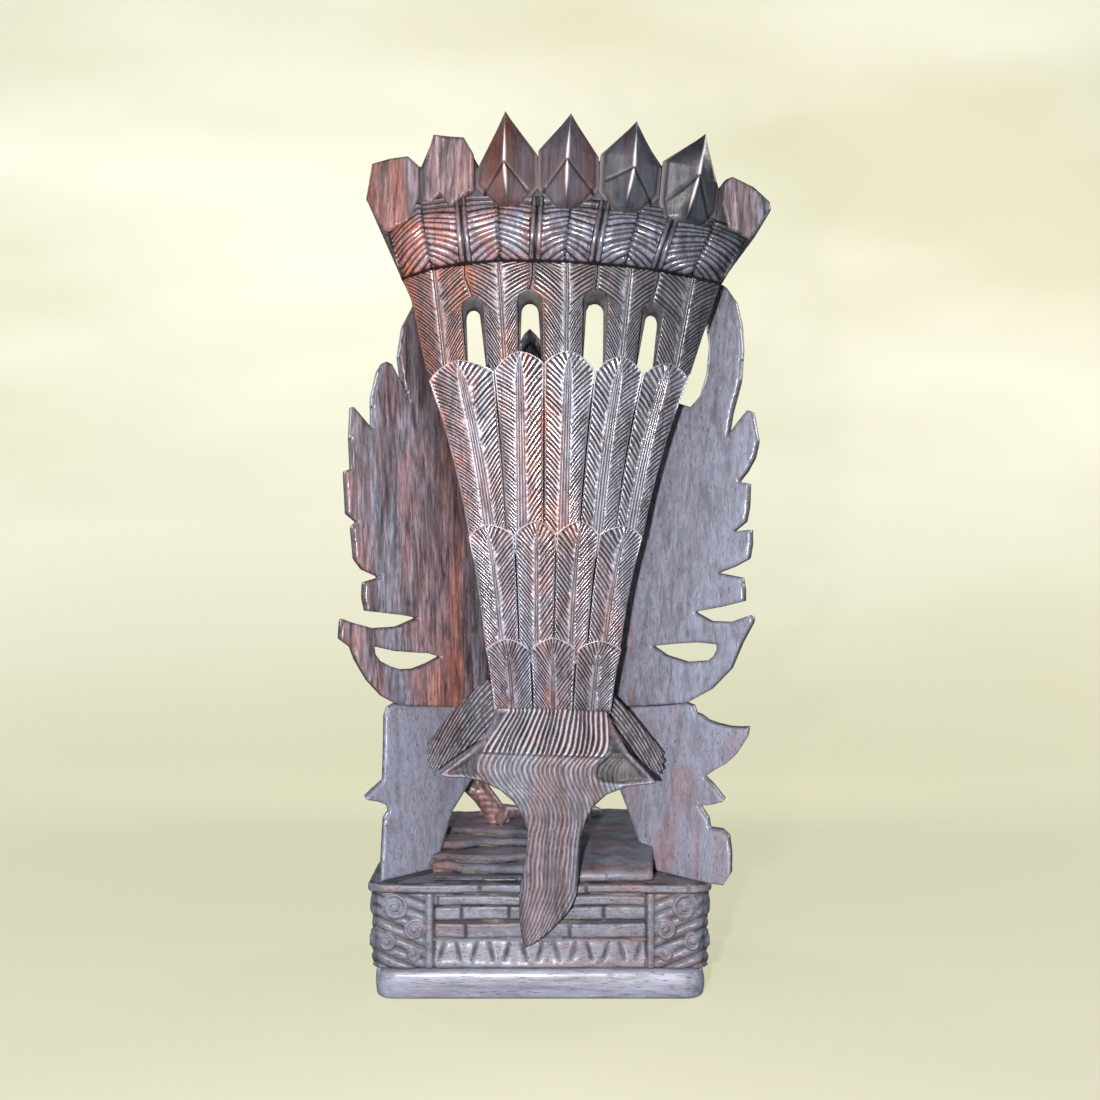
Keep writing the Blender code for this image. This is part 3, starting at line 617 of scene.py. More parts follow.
def wing_plane(x, z):
    """Depth of a wing's back before it is shaved: swept to the rear as it leaves the body, and leaning
    forwards a little as it rises."""
    return -7 - (np.abs(x - AXIS_X) - WING_ROOT) * WING_SWEEP + (z - 130) * WING_LEAN


def wing_rear(x, z):
    """The wing's back, with the slow hollows that the spokeshave leaves."""
    return wing_plane(x, z) + 0.6 * ripple(x, 0, z, 55, 1.5)


def wing_front(x, z):
    """The wing's front, parallel to its back."""
    return wing_plane(x, z) + WING_THICK


def wing_back(x, z, depth):
    """A smooth back, with painted shade in the strip behind the tail and a little beside it."""
    proud, cut = spokeshaved(x, z, depth)
    shade_width = np.interp(z, *np.array(TAIL_SHADE_WIDTH).T)
    return proud, cut - 0.55 * smooth_step(np.abs(x - AXIS_X), shade_width + 9, shade_width)


def wing_feathers(x, z, depth):
    """Feathers in polar form about the shoulder: shafts at equal angles, crowned between V cuts, lapped
    in rows by radius, with barbs cut aslant to each shaft."""
    away, up = np.abs(x - AXIS_X) - 6.0, z - 140.0
    radius, angle = np.hypot(away, up), np.degrees(np.arctan2(up, away))
    row = np.clip(np.floor(radius / FEATHER_ROW), 0, 3)
    turn = (angle + 4.0 * row) / (15.0 - 2.6 * row)
    offset = turn - np.round(turn)
    crown = 1.0 - (2 * np.abs(offset)) ** 2.4
    within = radius / FEATHER_ROW - row
    lap = smooth_step(within + 0.32 * (2 * np.abs(offset)) ** 2, 1.02, 0.90)
    slant = (radius - 22 * np.abs(offset)) / 2.2
    barb = np.abs(np.sin(math.pi * slant)) ** 0.7
    shaft = smooth_step(np.abs(offset), 0.07, 0.04)
    proud = 1.5 * crown + 0.9 * lap - 1.5 + 0.45 * (barb - 1) * (1 - shaft)
    shown = smooth_step(crown, 0.0, 0.35) * (0.4 + 0.6 * lap)
    return proud, 0.25 + 0.75 * np.minimum(barb + shaft, 1) * shown


LEFT_WING = ((-16, 126), (-46, 129), (-67, 132), (-73, 136), (-79, 143.5), (-84, 153), (-86, 159),
             (-90.5, 163), (-90.3, 167.5), (-90, 172), (-86.5, 170.3), (-77, 167), (-67, 167.3),
             (-58.5, 171), (-65, 172.6), (-80, 175), (-81.2, 181), (-81, 187.8), (-74.3, 190),
             (-81.5, 193.7), (-84.7, 198.5), (-86, 213), (-83.8, 215), (-88, 218.8), (-89, 237.8),
             (-86.3, 239), (-87, 253), (-86.5, 267.5), (-82, 262), (-78, 257), (-78.2, 272), (-75.8, 284),
             (-73.3, 289), (-70.5, 288), (-66, 279), (-62.5, 270), (-65.5, 280), (-67, 292), (-65.2, 306),
             (-59, 320), (-46, 332), (-44, 318), (-40, 295), (-34, 270), (-28, 240), (-22, 215), (-16, 205),
             (-16, 192), (-9, 192), (-9, 150), (-16, 150))
LEFT_WING_EYE = ((-77, 159), (-76.5, 155.5), (-74.5, 152.3), (-70, 149.5), (-65, 147.6), (-60, 147.5),
                 (-54, 149.6), (-48.5, 152.5), (-54, 154.6), (-60.5, 155.3), (-69, 156.5))
RIGHT_WING = ((24, 126), (24, 150), (17, 150), (17, 192), (24, 192), (24, 205), (30, 215), (38, 240),
              (46, 260), (56, 270), (66, 271), (71.6, 268.6), (75.4, 273), (78.4, 283), (79.6, 296),
              (78.4, 306), (74, 314), (66, 322), (54, 332), (66, 331.5), (78, 328), (86, 323), (90.5, 315),
              (92.6, 304), (93, 293), (92, 279), (88.5, 265), (86.8, 254), (91, 260), (95, 265.2),
              (97, 264.6), (99, 251.5), (97.5, 244), (94.5, 238), (90.8, 233), (95.4, 232.5), (95, 222),
              (93.8, 215.3), (89, 211), (96, 211.5), (96, 205), (95, 198.6), (89, 195), (82.3, 192),
              (92.3, 190), (93, 185), (93, 179.6), (83, 176.5), (72.3, 174), (79.3, 170), (87.5, 170),
              (96.8, 174), (96.3, 170), (92, 161), (87.4, 149), (79, 139), (69, 132.3), (48, 129))
RIGHT_WING_EYE = ((54, 157.4), (60, 153.3), (69, 150.8), (78, 152), (80.5, 154), (82, 157), (82.2, 159.8),
                  (74, 160.2), (64, 159))


# The left wing is red and strongly figured, and the right one is red only next to the body
left_wing_wood = oiled_rosewood("left_wing_rosewood", redness=(0.38, 0.75), dark=0.46, amber=0.45,
                                rough=0.36, cut_shade=0.8)
right_wing_wood = oiled_rosewood("right_wing_rosewood", redness=(1.5, -0.45), dark=0.50, amber=0.3,
                                 rough=0.36, cut_shade=0.8, figure=0.35, stretch=0.25)
for side, edges, finish, lean in (("left", (LEFT_WING, LEFT_WING_EYE), left_wing_wood, 2.4),
                                  ("right", (RIGHT_WING, RIGHT_WING_EYE), right_wing_wood, -2.2)):
    wing = carved_board("swept_wing_" + side, edges, 0.8, wing_rear, wing_front, finish, radius=0.8,
                        rear_relief=wing_back, front_relief=wing_feathers, lean=lean)
    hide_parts(side + "_wing")

# ------------------------------------------------------------------------------------------ tail fan board
# The upright tail is one piece of rosewood. Its ground is a bowed board with four arched openings,
# cut with a flare so that they are wider at the back; plain feathers are chased on its front.

FAN_CENTRE_X, FAN_BOW = 6.0, 0.0018
FAN_HEIGHTS = (100, 127, 129, 160, 210, 260, 300, 325, 345, 391)
FAN_DEPTHS = (-43, -43, -45.5, -53, -61, -69, -77, -83, -84, -82)
FAN_FRONT_HEIGHTS = (100, 127, 210, 260, 300, 322, 345, 400)
FAN_FRONT_DEPTHS = (-36.5, -36.5, -51, -59, -66, -70, -71, -74)
GROUND = 2.6  # how far the ground lies below the feathers

# Openings: left and right at the foot, left and right at the springing, and the crown's height
OPENINGS = ((-31.7, -22.9, -34.0, -24.5, 313.0), (-9.2, 1.5, -9.6, 1.0, 315.5),
            (18.5, 27.9, 18.8, 29.6, 315.5), (41.5, 49.5, 44.6, 53.5, 311.0))
OPENING_FOOT, SPRINGING = 276.0, 5.5
FAN_EDGE = ((-6, 114), (-6, 128), (-21.3, 128), (-25, 161), (-28.8, 189), (-32.2, 211), (-38.6, 241),
            (-45, 266), (-48.8, 277), (-52.9, 297), (-55.8, 312), (-60, 320), (-68, 338), (-76, 356),
            (-73.6, 372), (-65, 374), (-57, 374.3), (-52, 369.6), (-46.2, 383), (-33, 381.2), (-26, 368.5),
            (-14.7, 390.6), (-1, 372.7), (13.6, 389.4), (26, 371), (41.9, 386.8), (53, 370), (72.3, 383),
            (77.5, 360), (81.5, 365.3), (84.6, 366.9), (94.6, 363.3), (102.2, 357.2), (102.8, 353.6),
            (95.8, 342), (84, 326), (79, 319), (75, 308), (71.4, 297), (65.4, 278), (60.8, 266), (53, 241),
            (46.5, 211), (41.4, 189), (36.7, 161), (32.5, 128), (16, 128), (16, 114))


def fan_rear(x, z):
    """Depth of the fan's feathered face: a profile by height, bowed by the square of the distance
    across."""
    return np.interp(z, FAN_HEIGHTS, FAN_DEPTHS) + FAN_BOW * (x - FAN_CENTRE_X) ** 2


def fan_front(x, z):
    """Depth of the fan's plain face: another profile, bowed alike."""
    return np.interp(z, FAN_FRONT_HEIGHTS, FAN_FRONT_DEPTHS) + FAN_BOW * (x - FAN_CENTRE_X) ** 2


def arch(opening, shrink, points=9):
    """An opening's outline from its left foot over a half-ellipse to its right foot, drawn in by shrink
    at the springing and lowered by three times as much at the crown."""
    left_low, right_low, left, right, crown = opening
    turn = np.linspace(math.pi, 0, points)
    middle, half = (left + right) / 2, (right - left) / 2 - shrink
    rise = SPRINGING - shrink
    over = np.stack([middle + half * np.cos(turn), crown - 3 * shrink - rise + rise * np.sin(turn)], axis=-1)
    return np.concatenate([[(left_low, OPENING_FOOT)], over, [(right_low, OPENING_FOOT)]])


def flared_ground(x, z, depth):
    """The ground falls away for 5 mm round each opening, and is left rough there."""
    near = np.full(x.shape, 99.0)
    for left, right, *_, crown in OPENINGS:
        away = np.hypot(np.maximum(np.maximum(left - x, x - right), 0), np.maximum(z - crown + 7, 0))
        near = np.minimum(near, away)
    flare = 1 - smooth_step(near, 0.0, 6.0)
    return 0.35 * ripple(x, 0, z, 3.5) * flare - 2.2 * flare, 0.42 - 0.20 * flare


def chased_front(x, z, depth):
    """Seven plain feathers fanned out by angle about a point below the board, each crowned, with a
    narrow quill and barbs cut aslant."""
    angle = np.degrees(np.arctan2(x - FAN_CENTRE_X, z + 60)) / 3.4
    offset = angle - np.round(angle)
    quill = smooth_step(np.abs(offset), 0.09, 0.05)
    barb = np.abs(np.sin(math.pi * (z - 14 * np.abs(offset)) / 2.8)) ** 0.7
    proud = 0.7 * (1 - (2 * np.abs(offset)) ** 3) - 0.7 + 0.4 * (barb - 1) * (1 - quill)
    return proud, 0.25 + 0.75 * np.maximum(barb, quill) * smooth_step(0.5 - np.abs(offset), 0.0, 0.08)


ground_wood = oiled_rosewood("fan_ground_rosewood", redness=(0.30, -0.10), dark=0.40, dust=0.1, rough=0.55)
edges = [FAN_EDGE, *(arch(opening, 1.6) for opening in OPENINGS)]
fan_board = carved_board("fan_ground_board", edges, 1.0, lambda x, z: fan_rear(x, z) + GROUND, fan_front,
                         ground_wood, radius=1.4, rear_relief=flared_ground, front_relief=chased_front)

# ------------------------------------------------------------------------------------------ tail feathers
# Three overlapping tiers of feathers, cut with a V gouge: each has a raised quill between two fine
# lines and barbs that rise away from it, and barbs radiate round its tip. Above them the five long
# stems stand between the openings.

# Where the points of a vane lie, from its quill to its edge
ACROSS = np.array([0.0, 0.03, 0.08, 0.16, 0.26, 0.36, 0.46, 0.56, 0.66, 0.76, 0.85, 0.92, 0.965, 1.0])
ROWS_A_BARB = 8
GOUGE = 0.75  # depth of a barb's cut
BARB_PITCH = {"upper": 1.6, "middle": 1.4, "lower": 1.25, "stem": 1.35}  # square to the barbs


def path_length(path):
    """The length of a path through points."""
    return float(np.hypot(*np.diff(path, axis=0).T).sum())


def along(path, distance):
    """Points at distances along a path."""
    path = np.asarray(path, float)
    reach = np.concatenate([[0.0], np.cumsum(np.hypot(*np.diff(path, axis=0).T))])
    return np.stack([np.interp(distance, reach, column) for column in path.T], axis=-1)


def scatter(number):
    """A repeatable number from 0 to 1 for each whole number."""
    spread = np.sin(number * 12.9898) * 43758.5453
    return spread - np.floor(spread)


def vane(quill, edge, degrees, t, half_quill, seed, pitch, rimmed):
    """One side of a feather. Barb t starts t of the way up the quill and ends on the edge, a lead further up
    it (the vane's width times the barb's slope); near the tip the lead eases so that the last barb ends at
    the tip. Each barb is a V cut of its own depth, which starts a little way off the quill, with a scratch
    between it and the next. The rim at the tip is raised and has a painted highlight, the crests a faint
    painted highlight, and the seams at the vane's edge painted shade. Returns points, height and cut."""
    base, edge = np.asarray(quill, float), np.asarray(edge, float)
    quill_run, edge_run = path_length(base), path_length(edge)
    width = abs(along(edge, 0.4 * edge_run)[0] - along(base, 0.4 * quill_run)[0])
    lead = min(width * math.tan(math.radians(degrees)), 0.5 * edge_run)
    late = np.clip((t - 0.7) / 0.3, 0, 1) ** 2
    start = along(base, quill_run * t) + half_quill[:, None] * np.array([1.0, 0.0])
    end = along(edge, lead + quill_run * t + (edge_run - lead - quill_run) * late)
    points = start[:, None] + (end - start)[:, None] * ACROSS[None, :, None]
    reach = np.hypot(*(end - start).T)[:, None]
    points[..., 1] += 0.05 * reach * 4 * ACROSS * (1 - ACROSS) * (1 - late[:, None])
    pitch = pitch * (0.9 + 0.25 * scatter(seed))
    number = quill_run * t[:, None] * math.cos(math.radians(degrees)) / pitch
    waver = 0.07 * np.sin(2.3 * number + 3 * ACROSS + seed) + 0.03 * np.sin(11 * ACROSS + number)
    number = number + seed + waver
    whole = np.round(number)
    deep = 0.55 + 0.45 * scatter(whole + seed)
    begin = 0.16 * scatter(whole + 0.5 + seed)
    v_cut = np.clip(1 - np.abs(number - whole) / 0.34, 0, 1) * deep
    v_cut = v_cut * smooth_step(ACROSS - begin, 0.0, 0.10) * smooth_step(ACROSS, 0.97, 0.90)
    below = np.floor(number)
    scratch = np.clip(1 - np.abs(number - below - 0.5) / 0.14, 0, 1) * scatter(below - seed)
    fade = 1 - t[:, None] ** 40
    on_tip = smooth_step(t[:, None], 0.62, 0.74) * rimmed
    roll = smooth_step(ACROSS, 0.90, 1.0) * (1 - on_tip)
    rim = smooth_step(ACROSS, 0.88, 0.97) * on_tip
    height = -GOUGE * (v_cut + 0.25 * scratch) * fade * (1 - rim) + 0.45 * (1 - ACROSS ** 2)
    height = height - 0.45 * roll + 0.25 * rim
    crest = 1 - np.clip(v_cut * 1.5 + 0.5 * scratch, 0, 1)
    # painted shade along the seams between feathers; painted highlight on the crests and on the rim at the
    # tip
    seam = smooth_step(ACROSS, 0.96, 0.99) * (1 - on_tip)
    cut = crest * (1.08 - 0.95 * seam) + 0.22 * rim
    return points, height, cut


def feather(quill, left_edge, right_edge, slants, low, high, quill_width, seed, pitch, lines=1, rimmed=1.0):
    """A feather's grid from its left edge over the quill to its right edge, rising from low to high
    above the fan's face by the square of t. The quill is a band of fine beads side by side, which
    narrows upwards and closes at the tip."""
    rows = int(path_length(np.asarray(quill)) * math.cos(math.radians(min(slants))) / pitch) * ROWS_A_BARB
    t = np.linspace(0, 1, rows)
    half = quill_width / 2 * (1 - 0.4 * t) * (1 - t ** 24)
    left, left_height, left_cut = vane(quill, left_edge, slants[0], t, -half, seed, pitch, rimmed)
    right, right_height, right_cut = vane(quill, right_edge, slants[1], t, half, seed + 1.3, pitch, rimmed)
    u = np.linspace(-1, 1, 4 * lines + 1)[1:-1]
    middle = along(quill, path_length(np.asarray(quill)) * t)[:, None] + np.zeros((1, len(u), 1))
    middle[..., 0] += half[:, None] * u
    points = np.concatenate([left[:, ::-1], middle, right], axis=1)
    bead = np.abs(np.sin(math.pi * lines * (u + 1) / 2)) ** 0.6 + np.zeros((rows, 1))
    sink = np.where(ACROSS == 0, 0.30, 0.0) * (1 - t[:, None] ** 24)
    height = np.concatenate([(left_height - sink)[:, ::-1], 0.2 + 0.5 * bead, right_height - sink], axis=1)
    # painted shade in the fine lines beside the quill, and a faint painted highlight on its beads
    dark = np.where(ACROSS == 0, 0.15, 1.0)
    cut = np.concatenate([(left_cut * dark)[:, ::-1], 0.05 + 1.0 * bead, right_cut * dark], axis=1)
    return points, height + (low + (high - low) * t ** 2)[:, None], cut


def relief_piece(name, grids, surface, thick, finish, folded, ribs=2):
    """Carved grids laid on a surface and closed behind it: a skirt from each side edge to a plain back
    with that many columns, which follow the surface, and a face across the foot and, unless the grid
    is folded to a point there, across the top."""
    points, cuts, quads, caps, first = [], [], [], [], 0
    for plan, height, cut in grids:
        rows, columns = height.shape
        x, z = plan[..., 0], plan[..., 1]
        face = np.stack([x, surface(x, z) - height, z], axis=-1).reshape(-1, 3)
        rib = np.linspace(0, columns - 1, ribs).astype(int)
        back_x, back_z = x[:, rib], z[:, rib]
        points += [face, np.stack([back_x, surface(back_x, back_z) + thick, back_z], axis=-1).reshape(-1, 3)]
        cuts += [cut.ravel(), np.full(ribs * rows, 0.5)]
        row = np.arange(rows - 1)
        left, right = first + row * columns, first + row * columns + columns - 1
        back = first + rows * columns + np.arange(ribs)
        behind, beside = back[0] + ribs * row, back[-1] + ribs * row
        quads += [grid_faces(rows, columns, first)[:, ::-1],
                  np.stack([left, left + columns, behind + ribs, behind], axis=-1),
                  np.stack([right, beside, beside + ribs, right + columns], axis=-1),
                  grid_faces(rows, ribs, back[0])]
        foot = first + np.arange(columns)
        caps.append(np.concatenate([back, foot[::-1]]))
        if not folded:
            caps.append(np.concatenate([foot + (rows - 1) * columns, back[::-1] + ribs * (rows - 1)]))
        first += rows * (columns + ribs)
    obj = carved_piece(name, np.concatenate(points), [np.concatenate(quads), np.array(caps)], finish,
                       np.concatenate(cuts))
    if folded:
        shape = bmesh.new()
        shape.from_mesh(obj.data)
        bmesh.ops.remove_doubles(shape, verts=shape.verts, dist=1e-6)
        shape.to_mesh(obj.data)
        shape.free()
        obj.data.shade_smooth()
    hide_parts("tail_fan")
    return obj


def feather_edge(low, shoulder, apex, foot, spread=0.35, start=14.0):
    """A feather's side: from its foot up a line that curves out to the shoulder, then over to the tip by
    a blend of part of a quarter ellipse and a straight line."""
    z = np.linspace(foot, shoulder[1], SIDE_POINTS)
    f = (z - low[1]) / (shoulder[1] - low[1])
    side = np.stack([low[0] + (shoulder[0] - low[0]) * (f + spread * f * (f - 1)), z], axis=-1)
    turn = np.radians(np.linspace(start, 90, TOP_POINTS))[1:]
    first = math.radians(start)
    rise = (np.sin(turn) - math.sin(first)) / (1 - math.sin(first))
    round_over = np.stack([np.cos(turn) / math.cos(first), rise], axis=-1)
    straight = np.linspace(0, 1, TOP_POINTS)[1:, None] * np.array([-1.0, 1.0]) + (1.0, 0.0)
    reach = np.array([shoulder[0] - apex[0], apex[1] - shoulder[1]])
    return np.concatenate([side, (apex[0], shoulder[1]) + (0.6 * round_over + 0.4 * straight) * reach])


# A tier: height of the seams' feet, their x there, the shoulders where the seams end, the tips, the
# quills' x at the foot, how far a quill stops below its tip, its width, the barbs' slopes, and the
# number of beads in a quill
FEATHER_TIERS = {
    "upper": (211.4, (-32.6, -15.1, 1.8, 17.9, 33.9, 47.0),
              ((-49.0, 277.0), (-20.0, 280.8), (1.9, 284.2), (24.2, 280.7), (45.3, 279.7), (65.8, 278.0)),
              ((-35.8, 285.7), (-8.9, 289.1), (12.8, 289.3), (35.6, 287.2), (56.4, 284.6)),
              (-22.5, -8.1, 10.6, 25.9, 40.8), 2.0, 4.4,
              ((34, 50), (33, 50), (42, 48), (50, 40), (50, 42)), 3),
    "middle": (159.7, (-25.3, -9.5, 6.3, 21.6, 37.0),
               ((-32.1, 208.3), (-11.5, 209.6), (7.4, 209.6), (26.5, 209.6), (46.0, 208.3)),
               ((-23.1, 213.8), (-1.4, 215.5), (17.6, 215.5), (37.7, 213.3)),
               (-17.4, -1.6, 14.0, 29.3), 3.5, 1.5, ((48, 54), (52, 54), (54, 52), (54, 50)), 1),
    "lower": (128.7, (-21.5, -3.2, 15.0, 32.8),
              ((-24.8, 157.4), (-4.5, 157.5), (16.6, 157.5), (37.0, 157.4)),
              ((-14.8, 162.5), (5.8, 163.0), (26.5, 161.6)),
              (-12.4, 5.9, 23.9), 4.5, 1.4, ((50, 54), (54, 54), (54, 50)), 1),
}
HIDDEN_FOOT = 12.0  # how far a feather runs on below the tier that covers it
SEAM = 0.22  # half the gap left by the cut between two feathers
SIDE_POINTS, TOP_POINTS = 24, 14

# Its side factors paint shade, paler on the left, which faces the lamps, and darker on the right
feather_wood = oiled_rosewood("tail_feather_rosewood", redness=(0.85, -0.50), dark=0.70, amber=0.9,
                              rough=0.34, cut_shade=0.985, wax=1.0, side_shade=(1.25, 0.50), figure=0.7)
for tier, measures in FEATHER_TIERS.items():
    low_z, seams, shoulders, tips, quills, stop, width, slants, lines = measures
    grids = []
    foot = low_z - HIDDEN_FOOT
    for i, tip in enumerate(tips):
        quill_top = (tip[0], tip[1] - stop)
        line = feather_edge((quills[i], low_z), quill_top, quill_top, foot)[:SIDE_POINTS]
        edges = []
        for k, gap in ((i, SEAM), (i + 1, -SEAM)):
            shoulder = (shoulders[k][0] + gap, shoulders[k][1])
            edges.append(feather_edge((seams[k] + gap, low_z), shoulder, tip, foot))
        grids.append(feather(line, *edges, slants[i], -0.6, 1.5, width, 1.9 * i, BARB_PITCH[tier], lines))
    relief_piece("tail_feathers_" + tier, grids, fan_rear, GROUND + 0.4, feather_wood, folded=True)

# Stems: quill's x at the foot and under the ring, then the seams over the openings where they meet it
STEM_QUILLS = ((-40.6, -46.4), (-14.6, -17.8), (11.6, 12.1), (34.8, 39.8), (58.4, 68.0))
STEM_SEAMS = (-32.5, -3.1, 25.0, 51.8)
STEM_FOOT, STEM_TOP = 272.0, 328.0

half_arches = [np.array_split(arch(opening, 0.0, 13), [8]) for opening in OPENINGS]
sides_up = [[(-46.6, STEM_FOOT), (-49.4, 278), (-53.5, 297), (-56.3, 312), (-63, STEM_TOP)]]
for (near, far), seam in zip(half_arches, STEM_SEAMS):
    sides_up.append([*near, (seam, 321), (seam, STEM_TOP)])
    sides_up.append([*far[::-1], near[-1], (seam, 321), (seam, STEM_TOP)])
sides_up.append([(63.2, STEM_FOOT), (65.9, 278), (71.9, 297), (75.8, 308), (82, STEM_TOP)])
stems = []
for i, (low_x, high_x) in enumerate(STEM_QUILLS):
    stems.append(feather([(low_x, STEM_FOOT), (high_x, STEM_TOP)], sides_up[2 * i], sides_up[2 * i + 1],
                         (46, 46), -0.9, -0.2, 1.5, 2.7 * i, BARB_PITCH["stem"], rimmed=0.0))
# Its side factors paint shade, paler on the left, which faces the lamps, and darker on the right
stem_wood = oiled_rosewood("tail_stem_rosewood", redness=(1.3, -0.45), dark=0.44, amber=1.0, rough=0.42,
                           cut_shade=0.98, wax=0.15, side_shade=(1.15, 0.30), figure=0.6)
relief_piece("tail_stems", stems, fan_rear, GROUND + 0.4, stem_wood, folded=False)

# ------------------------------------------------------------------------------------------ tail ring
# The bead that binds the stems: half-round, crossed by four double bars. Barbs leave each bar
# sideways, steep along the bead's foot and nearly level along its top.

RING_LOW = ((-60.2, 320.2), (-47.3, 323.4), (-33.3, 325.4), (-14.8, 326.3), (4.5, 325.9), (25.9, 325.0),
            (52.3, 322.8), (65.1, 320.7), (79.5, 318.5))
RING_HIGH = ((-67.3, 342), (-60.4, 348.6), (-53.9, 353), (-38.5, 354.9), (-13.5, 354.7), (11.3, 353.6),
             (35.8, 352.3), (62.3, 349), (78.3, 345.9), (92.8, 341.6))
RING_BARS = (-0.01, 0.205, 0.416, 0.597, 0.789, 1.01)  # shares of the bead's length
RING_BULGE, RING_PITCH = 8.0, 3.1


def ring_grid(step=0.45, rows=78):
    """The bead as a grid: straight rungs from the lower to the upper edge, a bulge of a sine's power up
    each rung, barbs by height less distance from the nearest bar times a slope that falls up the rung,
    and a seam where two bars' barbs meet."""
    low, high = np.array(RING_LOW), np.array(RING_HIGH)
    columns = int((high[-1, 0] - high[0, 0]) / step)
    share, v = np.linspace(0, 1, columns)[None], np.linspace(0, 1, rows)[:, None]
    low_x = low[0, 0] + share * (low[-1, 0] - low[0, 0])
    high_x = high[0, 0] + share * (high[-1, 0] - high[0, 0])
    low_z, high_z = np.interp(low_x, *low.T), np.interp(high_x, *high.T)
    x, z = low_x + (high_x - low_x) * v, low_z + (high_z - low_z) * v
    bars = np.array(RING_BARS)
    span = low[-1, 0] - low[0, 0] + (high[-1, 0] - high[0, 0] - low[-1, 0] + low[0, 0]) * v
    gap = np.abs(share[..., None] - bars)
    bar = np.min(gap, axis=-1) * span
    order = np.sort(gap, axis=-1)
    seam = (order[..., 1] - order[..., 0]) / 2 * span
    number = (28 * v - bar * (0.72 - 0.72 * v)) / RING_PITCH + np.argmin(gap, axis=-1) * 0.4
    waver = 0.14 * np.sin(2.1 * number + np.argmin(gap, axis=-1)) + 0.05 * np.sin(0.35 * bar + number)
    number = number + waver
    barb = np.abs(np.sin(math.pi * number)) ** 0.8
    rib = np.abs(bar - 1.5)
    on_bar = smooth_step(bar, 3.0, 2.4)
    bead = 0.7 * np.sqrt(np.clip(1 - (rib / 1.0) ** 2, 0, 1))
    ends = smooth_step(np.minimum(share, 1 - share), -0.02, 0.07)
    bulge = RING_BULGE * np.sin(math.pi * np.clip(v * 1.16, 0, 1) ** 0.92) ** 0.8 * (0.45 + 0.55 * ends)
    pillow = 0.5 * smooth_step(bar, 2.6, 6.0)
    valley = 0.6 * smooth_step(seam, 1.6, 0.2)
    chased = 0.95 * (barb - 1)
    height = 0.3 + bulge + on_bar * bead + (1 - on_bar) * (chased + pillow - valley)
    lip = smooth_step(v, 0.05, 0.02)
    cut = (1 - lip) * np.where(on_bar > 0.5, 0.1 + 0.9 * bead, barb)
    cut = cut * (1 - 0.6 * smooth_step(seam, 0.9, 0.2)) * (1 - 0.5 * smooth_step(v, 0.80, 0.90))
    return np.stack([x, z], axis=-1), height - 0.8 * lip, cut * (0.45 + 0.55 * ends)


# Its side factors paint shade, paler on the left, which faces the lamps, and darker on the right
ring_wood = oiled_rosewood("tail_ring_rosewood", redness=(1.0, -0.65), dark=0.98, amber=0.9, rough=0.26,
                           cut_shade=0.97, wax=1.0, side_shade=(1.15, 0.38), figure=0.6)
relief_piece("tail_ring", [ring_grid()], fan_rear, GROUND + 0.4, ring_wood, folded=False, ribs=14)

# ------------------------------------------------------------------------------------------ tail tips
# Above the bead the feathers end in points, each cut to a centre ridge with two hollow facets and an
# incised chevron. The first, second and last have lost their points and show flat raw grain.

# A tip: its outline from the foot of the ridge up each side to the point, then the chevron's ends and top
TAIL_TIPS = (
    (((-13.5, 347.6), (-20.5, 351.8), (-27.6, 359.5), (-26.2, 368.4), (-14.7, 391.4)),
     ((-13.5, 347.6), (-7.0, 351.0), (-0.6, 358.5), (-0.9, 372.7), (-14.7, 391.4)),
     ((-24.1, 354.7), (-15.2, 368.2), (-5.2, 356.1))),
    (((11.2, 346.8), (5.0, 350.6), (-0.6, 358.0), (-0.6, 374.5), (13.6, 390.2)),
     ((11.2, 346.8), (19.0, 350.6), (25.6, 358.0), (25.6, 371.7), (13.6, 390.2)),
     ((1.8, 356.0), (11.8, 369.1), (22.9, 355.6))),
    (((35.9, 345.6), (30.4, 349.8), (25.6, 357.0), (26.3, 372.9), (41.9, 387.4)),
     ((35.9, 345.6), (44.6, 348.8), (51.6, 355.0), (52.8, 367.6), (41.9, 387.4)),
     ((28.3, 361.0), (40.6, 366.1), (47.8, 352.3))),
    (((62.2, 341.8), (53.4, 346.0), (51.8, 353.0), (53.5, 371.0), (72.2, 383.6)),
     ((62.2, 341.8), (72.0, 343.0), (77.0, 349.0), (78.3, 360.0), (72.2, 383.6)),
     ((54.4, 353.0), (68.9, 363.9), (73.1, 346.7))),
)
RIDGE = 5.5  # how far the centre ridge stands above the facets' edges


def segment_gap(x, z, start, end):
    """Distance from points to the straight line between two points."""
    run = np.array(end) - start
    t = np.clip(((x - start[0]) * run[0] + (z - start[1]) * run[1]) / (run ** 2).sum(), 0, 1)
    return np.hypot(x - start[0] - t * run[0], z - start[1] - t * run[1])


